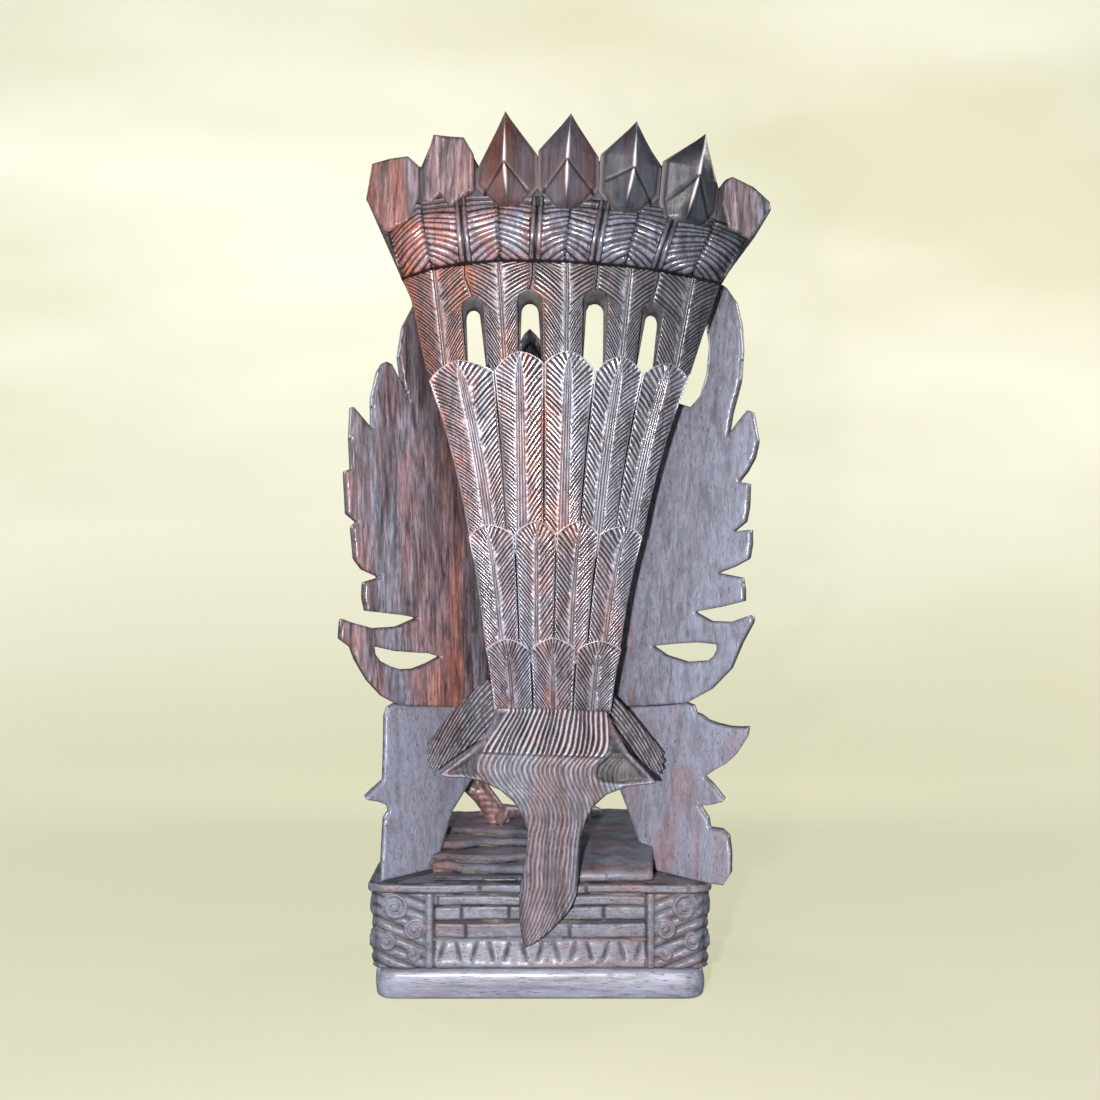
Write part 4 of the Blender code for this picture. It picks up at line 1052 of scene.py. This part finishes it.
def tip_grid(left_side, right_side, chevron, rows=80, columns=21):
    """A pointed tip: rungs from the ridge to points equally far along each side. The facets fall from
    the ridge by the share across, to the power 0.85, and roll over at the edge."""
    t = np.linspace(0, 1, rows)
    sides = [along(side, path_length(np.array(side)) * t) for side in (left_side, right_side)]
    foot, apex, kink = np.array(left_side[0]), np.array(left_side[-1]), np.array(chevron[1])
    ridge = along([foot, kink, apex], (np.linalg.norm(kink - foot) + np.linalg.norm(apex - kink)) * t)
    across = np.linspace(0, 1, columns) ** 1.3
    left = ridge[:, None] + (sides[0] - ridge)[:, None] * across[None, :, None]
    right = ridge[:, None] + (sides[1] - ridge)[:, None] * across[None, :, None]
    plan = np.concatenate([left[:, ::-1], right[:, 1:]], axis=1)
    share = np.concatenate([across[::-1], across[1:]])[None]
    x, z = plan[..., 0], plan[..., 1]
    gap = np.minimum(segment_gap(x, z, kink, chevron[0]), segment_gap(x, z, kink, chevron[2]))
    full = smooth_step(t, 0.0, 0.10)[:, None] * (1 - 0.65 * smooth_step(t, 0.75, 1.0)[:, None])
    height = 1.2 + RIDGE * (1 - share ** 0.85) * full - 1.9 * smooth_step(share, 0.84, 1.0)
    height = height - 0.4 * smooth_step(gap, 0.9, 0.1) + 0.08 * ripple(x, 0, z, 9)
    # painted shade in the chevron and at the foot, where the tip meets the bead; painted highlight on the
    # rolled edges and the middle of the ridge
    cut = (1 - 0.85 * smooth_step(gap, 0.8, 0.2)) * (1 + 0.3 * smooth_step(share, 0.88, 1.0))
    painted_ridge_highlight = smooth_step(t, 0.10, 0.35) * (1 - 0.8 * smooth_step(t, 0.60, 0.90))
    cut = cut + 0.9 * smooth_step(share, 0.07, 0.0) * painted_ridge_highlight[:, None]
    return plan, height, cut * smooth_step(t, 0.0, 0.05)[:, None]


# Its side factors paint shade, paler on the left, which faces the lamps, and darker on the right
tip_wood = oiled_rosewood("tail_tip_rosewood", redness=(1.5, -0.45), dark=0.22, amber=0.8, rough=0.36,
                          pores=0.6, side_shade=(1.4, 0.25), figure=0.4, wax=0.15)
grids = [tip_grid(*tip) for tip in TAIL_TIPS]
relief_piece("tail_tips", grids, fan_rear, GROUND + 1.5, tip_wood, folded=True)

BROKEN_TIPS = {
    "left": ((-76.1, 356), (-73.4, 371.6), (-65.4, 373.2), (-57.3, 373.8), (-52.6, 369.4), (-52, 356.5),
             (-56.5, 345), (-67.5, 340.5)),
    "left_inner": ((-50.2, 369), (-46, 382.6), (-39.7, 381.5), (-32.7, 380.7), (-28.4, 373.2), (-28, 357.5),
                   (-33.5, 354.5), (-39, 350.2), (-43, 356.5), (-46.5, 352), (-50.2, 354)),
    "right": ((79.6, 353), (80.6, 362.8), (84.2, 365.8), (92.6, 362.5), (100.8, 356.4), (101.8, 353.2),
              (95.4, 342.8), (91.8, 338.8), (82.4, 343)),
}


def torn_grain(x, z, depth):
    """Raised grain on a break: long splinters of wood along the height, a few of them deep."""
    splinter = ripple(x, 0, 0.05 * z, 1.3, 3.0)
    tear = ripple(x, 0, 0.07 * z, 3.1, 1.0)
    return 0.22 * splinter + 0.30 * tear, 0.72 + 0.25 * splinter


raw_wood = oiled_rosewood("raw_broken_rosewood", redness=(0.7, 0.3), dark=0.55, rough=0.62, cut_shade=0.7)
for side, outline in BROKEN_TIPS.items():
    stub = carved_board("broken_tip_" + side, [outline], 0.7, lambda x, z: fan_rear(x, z) - 1.6,
                        lambda x, z: fan_rear(x, z) + GROUND + 1.5, raw_wood, radius=1.0,
                        rear_relief=torn_grain)
    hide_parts("tail_fan")
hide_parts("tail_fan")

# ------------------------------------------------------------------------------------------ sash
# The cloth end that hangs from the rump over the base, cut as a leaf of rosewood and doweled on. Its
# sloping top carries bold V cuts, its bib and tail one run of close wavy lines.

SASH_HEIGHTS, SASH_DEPTHS = (20, 60, 104, 112, 129), (-62, -63.5, -65, -65, -47)
SASH_THICK = 5.5
RUMP_BACK = -44.3
CREASE_LEFT, CREASE_FALL = 112.7, 0.047

SASH_EDGE = ((-19.4, 130.6), (-22.3, 123.5), (-26.2, 117.5), (-33.8, 111.1), (-45.2, 102.5), (-40, 101.4),
             (-34.6, 101.5), (-28.5, 100.4), (-24.3, 99.1), (-17.5, 95.8), (-12, 91), (-8.2, 85.5),
             (-6.1, 80), (-5.5, 75), (-6.1, 69), (-7, 61), (-8.7, 54), (-9.3, 46), (-9.2, 38), (-8.1, 30),
             (-6.9, 25), (-2, 27.2), (3.4, 31.5), (9.7, 37.9), (13.7, 42.7), (16.2, 49), (17.1, 57),
             (17.3, 66), (18, 74), (20, 81.5), (23.8, 88.5), (29.5, 93.8), (38.6, 97.4), (52, 98.9),
             (45.3, 106.4), (39.4, 112.4), (34, 121.5), (30.5, 128.6), (13.9, 129.8), (-2.3, 130.3))
# The middle line of the cuts and their spacing, by height
FLOW = ((129, 8.5), (121, 6.2), (112.7, 3.2), (105.3, -1.0), (99, 1.0), (91.9, 5.8), (84.8, 8.1),
        (72.9, 6.5), (60.8, 5.4), (52.8, 5.0), (40.8, 1.0), (32.9, -2.2), (25.1, -6.5))
FLOW_PITCH = ((129, 2.0), (112.7, 2.42), (105, 2.25), (92, 1.95), (60, 1.85), (40, 1.6), (25, 1.2))


def eased_knots(value, knots):
    """A smooth curve through (place, height) knots: cubic pieces whose slope at a knot is that of the
    line between its neighbours."""
    place, level = np.array(knots, float)[np.argsort(np.array(knots)[:, 0])].T
    slope = np.gradient(level, place)
    i = np.clip(np.searchsorted(place, value) - 1, 0, len(place) - 2)
    gap = place[i + 1] - place[i]
    t = np.clip((value - place[i]) / gap, 0, 1)
    rise = level[i + 1] - level[i]
    bend = slope[i] * t * (1 - t) ** 2 - slope[i + 1] * t * t * (1 - t)
    return level[i] + rise * t * t * (3 - 2 * t) + gap * bend


def sash_rear(x, z):
    """Depth of the sash's back: straight lines between the heights above."""
    return np.interp(z, SASH_HEIGHTS, SASH_DEPTHS)


def sash_front(x, z):
    """A leaf of even thickness, and a full pad down to the rump behind the bib."""
    thin = np.minimum(sash_rear(x, z) + SASH_THICK, RUMP_BACK)
    behind = (x > -19.5) & (x < 27.5) & (z > 104)
    return np.where(behind, RUMP_BACK, thin)


def sash_cuts(x, z, depth):
    """Cuts at whole numbers of (x - flow) / pitch. They are deep and wide on the slope above the crease,
    finer below it, and stop short of the two corner points, which are hollowed behind a raised edge."""
    number = (x - eased_knots(z, FLOW)) / eased_knots(z, FLOW_PITCH)
    number = number + 0.16 * np.sin(0.9 * np.round(number) + 0.11 * z) + 0.05 * np.sin(0.5 * z + number)
    crease = CREASE_LEFT - CREASE_FALL * (x + 24)
    slope = smooth_step(z, crease - 0.3, crease + 0.7)
    ridge = np.abs(np.sin(math.pi * number)) ** (0.62 + 0.3 * slope)
    inside = 1 - smooth_step(np.abs(number + 0.3), 11.0, 11.7) * smooth_step(z, 104, 112)
    inside = inside * (1 - smooth_step(np.abs(number), 14.5, 17.5))
    deep = (0.62 + 0.55 * slope) * inside
    beyond = np.maximum(np.abs(number + 0.3) - 11.3, 0) * 2.2 * smooth_step(z, 98, 104)
    hollow = 1.7 * smooth_step(beyond, 0.0, 2.5) * smooth_step(depth, 0.8, 3.2)
    lip = 0.9 * smooth_step(np.abs(z - crease), 0.8, 0.0) * inside
    proud = deep * (ridge - 1) - hollow + 0.5 * slope * inside - 0.6 * lip + 0.12 * ripple(x, 0, z, 9)
    # painted highlight on the ridges of the slope, which faces up towards the lamps; painted shade in the
    # corner hollows and along the crease
    painted_ridge_highlight = 0.55 * slope * inside * smooth_step(ridge, 0.80, 0.98)
    return proud, (1 - inside * (1 - ridge)) * (1 - 0.65 * hollow / 1.7) * (1 - 0.5 * lip) + painted_ridge_highlight


def plain_back(x, z, depth):
    """A face that is only shaved, with slow hollows."""
    return 0.2 * ripple(x, 0, z, 12), np.full(x.shape, 0.8)


sash_wood = oiled_rosewood("sash_rosewood", redness=(0.20, 0.00), dark=0.50, dust=0.10, figure=0.6,
                           wax=0.05, cut_shade=0.99)
sash = carved_board("rear_sash_leaf", [SASH_EDGE], 0.42, sash_rear, sash_front, sash_wood, radius=1.0,
                    rear_relief=sash_cuts, front_relief=plain_back)
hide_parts("rear_sash")

# ------------------------------------------------------------------------------------------ sash flaps
# Two pleated flaps either side of the tail's foot, glued to the rump's cheeks. The pleats are straight
# gouge cuts that run down and outwards and end in a ragged edge.

FLAP_THICK, PLEAT = 5.0, 1.9
LEFT_FLAP = ((-20.4, 118), (-20.4, 131), (-22, 139), (-24.9, 142.6), (-33, 135.6), (-41, 127.6),
             (-46.5, 120.6), (-51.8, 113.6), (-50.6, 111.8), (-52.3, 110.2), (-50.8, 108.6), (-51.8, 106.8),
             (-50, 105.4), (-50.6, 103.4), (-48.6, 102.4), (-48.6, 101), (-44, 104.5), (-31, 113.5))
RIGHT_FLAP = ((28.4, 118), (28.4, 124), (30.5, 131), (33.3, 135.6), (41.2, 127.6), (48.7, 118.8),
              (56.8, 109.6), (55.6, 107.8), (57.3, 106.2), (55.7, 104.6), (56.4, 102.6), (54.6, 101.6),
              (54.6, 99.8), (50, 102.5), (38, 113))


def flap_rear(x, z):
    """Depth of a flap's back: it leans to the rear as it falls."""
    return -33.5 - 0.42 * (137 - z)


def flap_front(x, z):
    """The flap's front, parallel to its back."""
    return flap_rear(x, z) + FLAP_THICK


def pleats(x, z, depth):
    """Straight pleats at whole numbers of the distance across a line that falls outwards by 43 degrees."""
    across = 0.73 * np.abs(x - AXIS_X) + 0.68 * z + 0.015 * (np.abs(x - AXIS_X) - 30) ** 2
    number = across / PLEAT + 0.12 * np.sin(0.8 * across)
    fold = np.abs(np.sin(math.pi * number)) ** 0.8
    return 1.3 * (fold - 1) + 0.15 * ripple(x, 0, z, 6), fold ** 2


flap_wood = oiled_rosewood("flap_rosewood", redness=(0.1, 0.1), dark=0.56, dust=0.1, rough=0.46, wax=0.1,
                           cut_shade=0.98)
for side, outline in (("left", LEFT_FLAP), ("right", RIGHT_FLAP)):
    flap = carved_board("pleated_flap_" + side, [outline], 0.34, flap_rear, flap_front, flap_wood,
                        radius=0.9, rear_relief=pleats, front_relief=plain_back)
    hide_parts(side + "_sash_flap")

# ------------------------------------------------------------------------------------------ body
# The bird's trunk, carved from the same block as the square rump that carries the tail and sash. Rows
# of scale feathers cover it, each cut with a quill and a few barbs.

BODY_PROFILE = ((98, 10), (104, 17), (114, 24), (130, 26), (150, 24), (172, 26), (192, 28), (206, 25),
                (218, 17), (226, 13))
BODY_Y, BODY_RATIO = 8.0, 0.85
SCALE_HIGH, SCALES_ROUND = 8.0, 16


def body_rings(rows=170, columns=192):
    """A smooth profile of radius by height, flattened front to back, with staggered scales: each is a
    half-round by place in its cell, lapping the row below, with barbs aslant to its quill."""
    z = np.linspace(98.3, 225.7, rows)[:, None]
    turn = np.linspace(0, 2 * math.pi, columns, endpoint=False)[None]
    row = (z - 98) / SCALE_HIGH
    up = row - np.floor(row)
    cell = turn / (2 * math.pi) * SCALES_ROUND + 0.5 * (np.floor(row) % 2)
    across = (cell - np.round(cell)) * 2
    edge = np.hypot(across, 1.15 * (1 - up))
    scale = smooth_step(edge, 1.18, 0.95)
    lower = 0.55 + 0.45 * smooth_step(np.abs(across), 0.2, 1.0)
    quill = smooth_step(np.abs(across), 0.16, 0.08) * scale
    barb = np.abs(np.sin(math.pi * (up * 4.2 + 1.6 * np.abs(across)))) ** 0.8
    proud = 1.3 * (scale * (1 - 0.6 * up) - lower * (1 - scale)) + 0.35 * quill
    proud = proud - 0.35 * (1 - barb) * scale * (1 - quill)
    carved = smooth_step(z, 100, 108) * smooth_step(-z, -224, -216)
    radius = eased_knots(z, BODY_PROFILE) - 1.2 + proud * carved
    x = AXIS_X + radius * np.cos(turn)
    y = BODY_Y + BODY_RATIO * radius * np.sin(turn)
    rings = np.stack(np.broadcast_arrays(x, y, z), axis=-1)
    return rings, np.broadcast_to((0.25 + 0.75 * barb) * (0.3 + 0.7 * scale), rings.shape[:2])


body_wood = oiled_rosewood("body_rosewood", redness=(0.25, 0.05), dark=0.95, amber=0.3)
rings, cut = body_rings()
trunk = closed_rings("scaled_body", rings, body_wood, cut)

RUMP_LENGTH, RUMP_DEPTH, RUMP_CORNER, RUMP_ROLL = 47.4, 35.4, 3.5, 2.0
RUMP_LOW, RUMP_HIGH = 106.2, 123.8  # where its rolled edges end
rump_path, rump_normals = rounded_rectangle(RUMP_LENGTH, RUMP_DEPTH, RUMP_CORNER, 1.2)
roll = np.radians(np.linspace(0, 90, 4))
rump_profile = [(RUMP_ROLL * (1 - math.sin(a)), RUMP_LOW - RUMP_ROLL * math.cos(a)) for a in roll]
rump_profile += [(0.15 * math.sin(z), z) for z in np.linspace(108, 122, 8)]
rump_profile += [(RUMP_ROLL * (1 - math.cos(a)), RUMP_HIGH + RUMP_ROLL * math.sin(a)) for a in roll]
rump_rings = turned_block(rump_path, rump_normals, rump_profile) + np.array([AXIS_X, -26.0, 0.0])
rump = closed_rings("rump_block", rump_rings, body_wood)
for piece in (trunk, rump):
    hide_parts("body")

# ------------------------------------------------------------------------------------------ head and crest
# A hooked beak, round eyes under carved brows, and a flame crest let into the crown, whose point shows
# between the stems of the tail. The head is pegged down on the neck.


def smooth_route(knots, rows):
    """Rows of (x, y, z, radius) along a smooth curve through knots, evenly spaced by knot distance."""
    knots = np.array(knots, float)
    reach = np.concatenate([[0.0], np.cumsum(np.linalg.norm(np.diff(knots[:, :3], axis=0), axis=1))])
    place = np.linspace(0, reach[-1], rows)
    return np.stack([eased_knots(place, np.stack([reach, column], axis=-1)) for column in knots.T], axis=-1)


def horn_rings(knots, rows=24, sides=16, flat=1.0, up=(0.0, 0.0, 1.0)):
    """Rings square to a smooth route, of the knots' radius, with the second half-width flat times it."""
    route = smooth_route(knots, rows)
    run = np.gradient(route[:, :3], axis=0)
    run /= np.linalg.norm(run, axis=1)[:, None]
    side = np.cross(np.array(up), run)
    side /= np.linalg.norm(side, axis=1)[:, None]
    over = np.cross(run, side)
    turn = np.linspace(0, 2 * math.pi, sides, endpoint=False)
    radius = np.maximum(route[:, 3], 0.15)[:, None, None]
    return (route[:, None, :3] + radius * (np.cos(turn)[None, :, None] * side[:, None] * flat
                                           + np.sin(turn)[None, :, None] * over[:, None]))


def head_rings(rows=96, columns=128):
    """An egg, longer to the front, on a neck. Neck hackles are cut as waves along the height; brows and
    cheeks are round swellings added along the radius."""
    z = np.linspace(226.6, 256.6, rows)[:, None]
    turn = np.linspace(0, 2 * math.pi, columns, endpoint=False)[None]
    egg = np.sqrt(np.clip(1 - ((z - 241) / 16) ** 2, 0, 1))
    neck = 12.2 * smooth_step(z, 236, 228)
    across, along_y = np.maximum(17 * egg, neck), np.maximum(20 * egg, neck * 0.95)
    front = turn - math.pi / 2
    brow = 2.2 * np.exp(-((z - 248) / 2.2) ** 2 - ((np.abs(front) - 0.75) / 0.35) ** 2)
    cheek = 1.8 * np.exp(-((z - 236) / 4.0) ** 2 - ((np.abs(front) - 0.9) / 0.4) ** 2)
    behind = smooth_step(-np.sin(turn), -0.1, 0.5) * smooth_step(z, 227, 231)
    number = turn * 9.0 + 0.06 * (z - 226) * np.sign(np.cos(turn))
    hackle = np.abs(np.sin(number)) ** 0.8
    extra = brow + cheek + 0.7 * (hackle - 1) * behind
    x = AXIS_X + (across + extra) * np.cos(turn)
    y = 17 - 4 * smooth_step(z, 236, 228) + (along_y + extra) * np.sin(turn)
    rings = np.stack(np.broadcast_arrays(x, y, z), axis=-1)
    return rings, np.broadcast_to(1 - behind * (1 - hackle), rings.shape[:2])


rings, cut = head_rings()
head_pieces = [closed_rings("carved_head", rings, body_wood, cut)]
beak_wood = oiled_rosewood("beak_rosewood", redness=(-0.1, -0.1), dark=0.7, rough=0.28, pores=0.5)
# Each part of the beak as (x, y, z, radius) from its root to its point
BEAK = {
    "upper_beak": ((4, 26, 244, 9.5), (4, 36, 245, 8.2), (4, 45, 241.5, 5.6), (4, 50.5, 234.5, 3.0),
                   (4, 51.4, 227.5, 0.4)),
    "lower_beak": ((4, 26, 237, 6.5), (4, 36, 235, 5.0), (4, 43, 232.5, 2.8), (4, 46.5, 231.5, 0.5)),
}
for name, knots in BEAK.items():
    head_pieces.append(closed_rings(name, horn_rings(knots, 40, 28, flat=0.82), beak_wood))
for side, sign in (("left", -1), ("right", 1)):
    knots = ((AXIS_X + 10 * sign, 26, 244, 4.6), (AXIS_X + 13.2 * sign, 28.5, 244, 4.0),
             (AXIS_X + 15.4 * sign, 30.2, 244, 2.4), (AXIS_X + 16.1 * sign, 30.8, 244, 0.3))
    head_pieces.append(closed_rings("eye_" + side, horn_rings(knots, 16, 24), beak_wood))
for piece in head_pieces:
    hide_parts("head")

CREST_EDGE = ((-5, 251.2), (-8, 262), (-8.6, 275), (-9.4, 288), (-11.6, 299), (-11.2, 305), (-8.4, 310.4),
              (-5.6, 313.2), (-2.6, 310.2), (1.6, 305.2), (5, 298), (9, 288), (13, 275), (14.6, 263),
              (12.5, 251.2))
FLAME_PITCH = 4.0


def crest_flames(x, z, depth):
    """Licking strokes that follow the crest's edge at an even pitch."""
    nested = (depth + 1.2 * np.sin(0.35 * z + 0.3 * x)) / FLAME_PITCH
    cut = np.abs(nested - np.round(nested)) * FLAME_PITCH
    return groove(cut, 1.0, 0.9), smooth_step(cut, 0.0, 1.0)


crest_wood = oiled_rosewood("crest_rosewood", redness=(0.5, 0.3), dark=1.0, rough=0.4)
crest = carved_board("flame_crest", [CREST_EDGE], 0.7, lambda x, z: 5.5 + 0.05 * (z - 251),
                     lambda x, z: 20.5 + 0.02 * (z - 251), crest_wood, radius=6.0,
                     rear_relief=crest_flames, front_relief=crest_flames)
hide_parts("crest")

# ------------------------------------------------------------------------------------------ legs
# Bent legs under the wings, feathered to the hock, standing on the rock with three toes forward and
# one back. Each toe ends in a claw.

ROCK_STAND = 66.0
# A leg: its outline, and where its foot stands
LEGS = {
    "left": (((-27, 62), (-29.4, 70.5), (-33.8, 76.5), (-41.8, 84.5), (-48, 94), (-46, 102), (-40, 108),
              (-28, 110), (-16, 112), (-10, 112), (-10, 100), (-20, 97), (-28.4, 86.5), (-20.4, 75.5),
              (-13.9, 62)), (-20, 22)),
    "right": (((15, 62), (15, 72), (17, 82), (14, 100), (14, 112), (24, 112), (34, 108), (37, 99), (34, 90),
               (26, 80), (25, 72), (25, 62)), (20, 22)),
}
SHANK_TOP = 82.0
# A toe: share of its reach, height over the rock and radius, from its root to the start of its claw
TOE = ((0, 4, 4.5), (0.45, 3.4, 3.6), (0.8, 2.4, 3.0), (1, 1.6, 2.2))


def leg_cuts(x, z, depth):
    """Small staggered feathers on the thigh and rings of scute on the shank."""
    lap = (z + 2.0 * np.cos(x * 1.1)) / 5.0
    fold = lap - np.floor(lap)
    thigh = smooth_step(z, 80, 84)
    scute = np.abs(np.sin(math.pi * z / 3.2)) ** 0.6
    proud = thigh * 0.9 * (fold - 1) + (1 - thigh) * 0.5 * (scute - 1)
    return proud, 0.35 + 0.65 * np.where(z > SHANK_TOP, fold, scute)


leg_wood = oiled_rosewood("leg_rosewood", redness=(0.60, 0.15), dark=0.50, wax=0.05, figure=0.7)
for side, (outline, (foot_x, foot_y)) in LEGS.items():
    pieces = [carved_board("carved_leg_" + side, [outline], 0.8, lambda x, z: 12 + 0.12 * (100 - z),
                           lambda x, z: 26 + 0.06 * (100 - z), leg_wood, radius=4.0, rear_relief=leg_cuts,
                           front_relief=leg_cuts)]
    for i, degrees in enumerate((50, 90, 130, 270)):
        out = np.array([math.cos(math.radians(degrees)), math.sin(math.radians(degrees))])
        reach = 15 if degrees < 200 else 9
        toe = [(share * reach, height, radius) for share, height, radius in TOE] + [(reach + 4, -0.4, 0.3)]
        knots = [(foot_x + out[0] * r, foot_y + out[1] * r, ROCK_STAND + height, radius)
                 for r, height, radius in toe]
        pieces.append(closed_rings(f"toe_{side}_{i}", horn_rings(knots, 26, 16), leg_wood))
    for piece in pieces:
        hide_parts(side + "_leg")

# ------------------------------------------------------------------------------------------ pins and dowels
# Split bamboo, whittled round: pale, straight-grained and unwaxed. All of them are inside joints, and
# only a few ends show.


def split_bamboo():
    """Bamboo: noise stretched along the height for the fibres, darkening in lines."""
    material = bpy.data.materials.new("split_bamboo")
    material.use_nodes = True
    add = node_maker(material)
    place = add("ShaderNodeTexCoord").outputs["Object"]
    length = add("ShaderNodeMapping", {"Vector": place}, {"Scale": (1.0, 0.12, 0.12)}).outputs[0]
    fibre = add("ShaderNodeTexNoise", {"Vector": length}, {"Scale": 1500.0, "Detail": 3.0}).outputs["Fac"]
    line = ranged(add, fibre, 0.35, 0.65)
    colour = mixed(add, line, (0.30, 0.17, 0.07), (0.52, 0.36, 0.17))
    bump = add("ShaderNodeBump", {"Height": fibre}, {"Strength": 0.4, "Distance": 0.0002})
    links = {"Base Color": colour, "Normal": bump.outputs[0]}
    shader = add("ShaderNodeBsdfPrincipled", links, {"Roughness": 0.55})
    add("ShaderNodeOutputMaterial", {"Surface": shader.outputs[0]})
    return material


bamboo = split_bamboo()
for name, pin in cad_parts.items():
    if name.endswith(("_pin", "_dowel")) or name.startswith("base_dowel"):
        for place in range(len(pin.material_slots)):
            pin.material_slots[place].material = bamboo

# ------------------------------------------------------------------------------------------ setting
# A pale paper floor that curves up into a backdrop, a small lamp close to the camera, broad cool light
# from both sides, softer lamps in front of the bird, and a level camera at the height of its middle.

CAMERA = (4.5, -685.0, 202.5)
FRAME_WIDTH, FRAME_DISTANCE = 495.0, 630.0  # what the frame spans at the tail, and how far off that is
FILM_WIDTH = 36.0


def sweep_points():
    """A floor that turns up into a wall behind: a straight run, a quarter circle and a straight rise."""
    turn = np.radians(np.linspace(0, 90, 16))
    radius, back = 500.0, 700.0
    y = np.concatenate([[-2600.0], back + radius * np.sin(turn), [back + radius]])
    z = np.concatenate([[0.0], radius - radius * np.cos(turn), [3200.0]])
    x = np.array([-3200.0, 3200.0])
    return np.stack(np.broadcast_arrays(x[None], y[:, None], z[:, None]), axis=-1)


def painted_paper():
    """Matt cream paper with a faint cloudy wash, lit evenly from behind and less so at its foot."""
    material = bpy.data.materials.new("cream_paper")
    material.use_nodes = True
    add = node_maker(material)
    place = add("ShaderNodeTexCoord").outputs["Object"]
    slant = add("ShaderNodeMapping", {"Vector": place},
                {"Rotation": (0.0, 0.6, 0.0), "Scale": (0.5, 0.5, 1.6)}).outputs[0]
    wash = add("ShaderNodeTexNoise", {"Vector": slant}, {"Scale": 1.6, "Detail": 3.0}).outputs["Fac"]
    colour = mixed(add, ranged(add, wash, 0.38, 0.60), (0.80, 0.78, 0.56), (0.99, 0.97, 0.80))
    height = add("ShaderNodeSeparateXYZ", {"Vector": place}).outputs["Z"]
    glow = mixed(add, ranged(add, height, 0.0, 0.5), (0.62, 0.61, 0.42), colour)
    shader = add("ShaderNodeBsdfPrincipled", {"Base Color": mixed(add, 0.85, colour, (0.0, 0.0, 0.0)),
                                              "Emission Color": glow},
                 {"Roughness": 0.9, "Emission Strength": 0.88})
    add("ShaderNodeOutputMaterial", {"Surface": shader.outputs[0]})
    return material


points = sweep_points()
mesh = bpy.data.meshes.new("floor_sweep")
mesh.from_pydata((points.reshape(-1, 3) * MM).tolist(), [], grid_faces(*points.shape[:2])[:, ::-1].tolist())
mesh.shade_smooth()
floor_sweep = bpy.data.objects.new("floor_sweep", mesh)
bpy.context.scene.collection.objects.link(floor_sweep)
floor_sweep.data.materials.append(painted_paper())
floor_sweep.visible_diffuse = floor_sweep.visible_glossy = False  # the paper adds no light of its own


def soft_light(name, place, aim, size, power, colour):
    """A square area light at a place in mm, turned to face a point."""
    light = bpy.data.lights.new(name, "AREA")
    light.size, light.energy, light.color = size * MM, power, colour
    obj = bpy.data.objects.new(name, light)
    bpy.context.scene.collection.objects.link(obj)
    direction = np.array(aim, float) - np.array(place, float)
    obj.location = Vector(place) * MM
    obj.rotation_euler = Vector(direction).to_track_quat("-Z", "Y").to_euler()


soft_light("lamp_beside_camera", (-62, -690, 175), (0, -40, 230), 18, 10.5, (1.0, 0.95, 0.96))
soft_light("lamp_above_camera", (-130, -720, 640), (0, -40, 300), 150, 2.0, (1.0, 0.95, 0.93))
soft_light("fill_right", (1000, -650, 420), (0, 0, 180), 700, 2.6, (0.62, 0.80, 1.0))
soft_light("window_left", (-1100, -550, 350), (0, 0, 180), 700, 3.4, (0.66, 0.83, 1.0))
soft_light("front_left", (-1100, 850, 650), (0, 0, 200), 500, 9.0, (0.9, 0.95, 1.0))
soft_light("front_right", (1100, 850, 650), (0, 0, 200), 500, 9.0, (1.0, 0.97, 0.93))
soft_light("wall_wash", (0, 330, 500), (0, 1200, 500), 700, 4.5, (1.0, 0.97, 0.90))

world = bpy.data.worlds.new("studio")
world.use_nodes = True
world.node_tree.nodes["Background"].inputs["Color"].default_value = (0.93, 0.94, 1.0, 1.0)
world.node_tree.nodes["Background"].inputs["Strength"].default_value = 0.11
bpy.context.scene.world = world
bpy.context.scene.view_settings.view_transform = "Standard"

camera_data = bpy.data.cameras.new("camera")
camera_data.sensor_width = FILM_WIDTH
camera_data.lens = FILM_WIDTH * FRAME_DISTANCE / FRAME_WIDTH
camera_data.clip_start, camera_data.clip_end = 0.01, 20.0
camera = bpy.data.objects.new("camera", camera_data)
camera.location = [value * MM for value in CAMERA]
camera.rotation_euler = (math.radians(90), 0, 0)
bpy.context.scene.collection.objects.link(camera)
bpy.context.scene.camera = camera
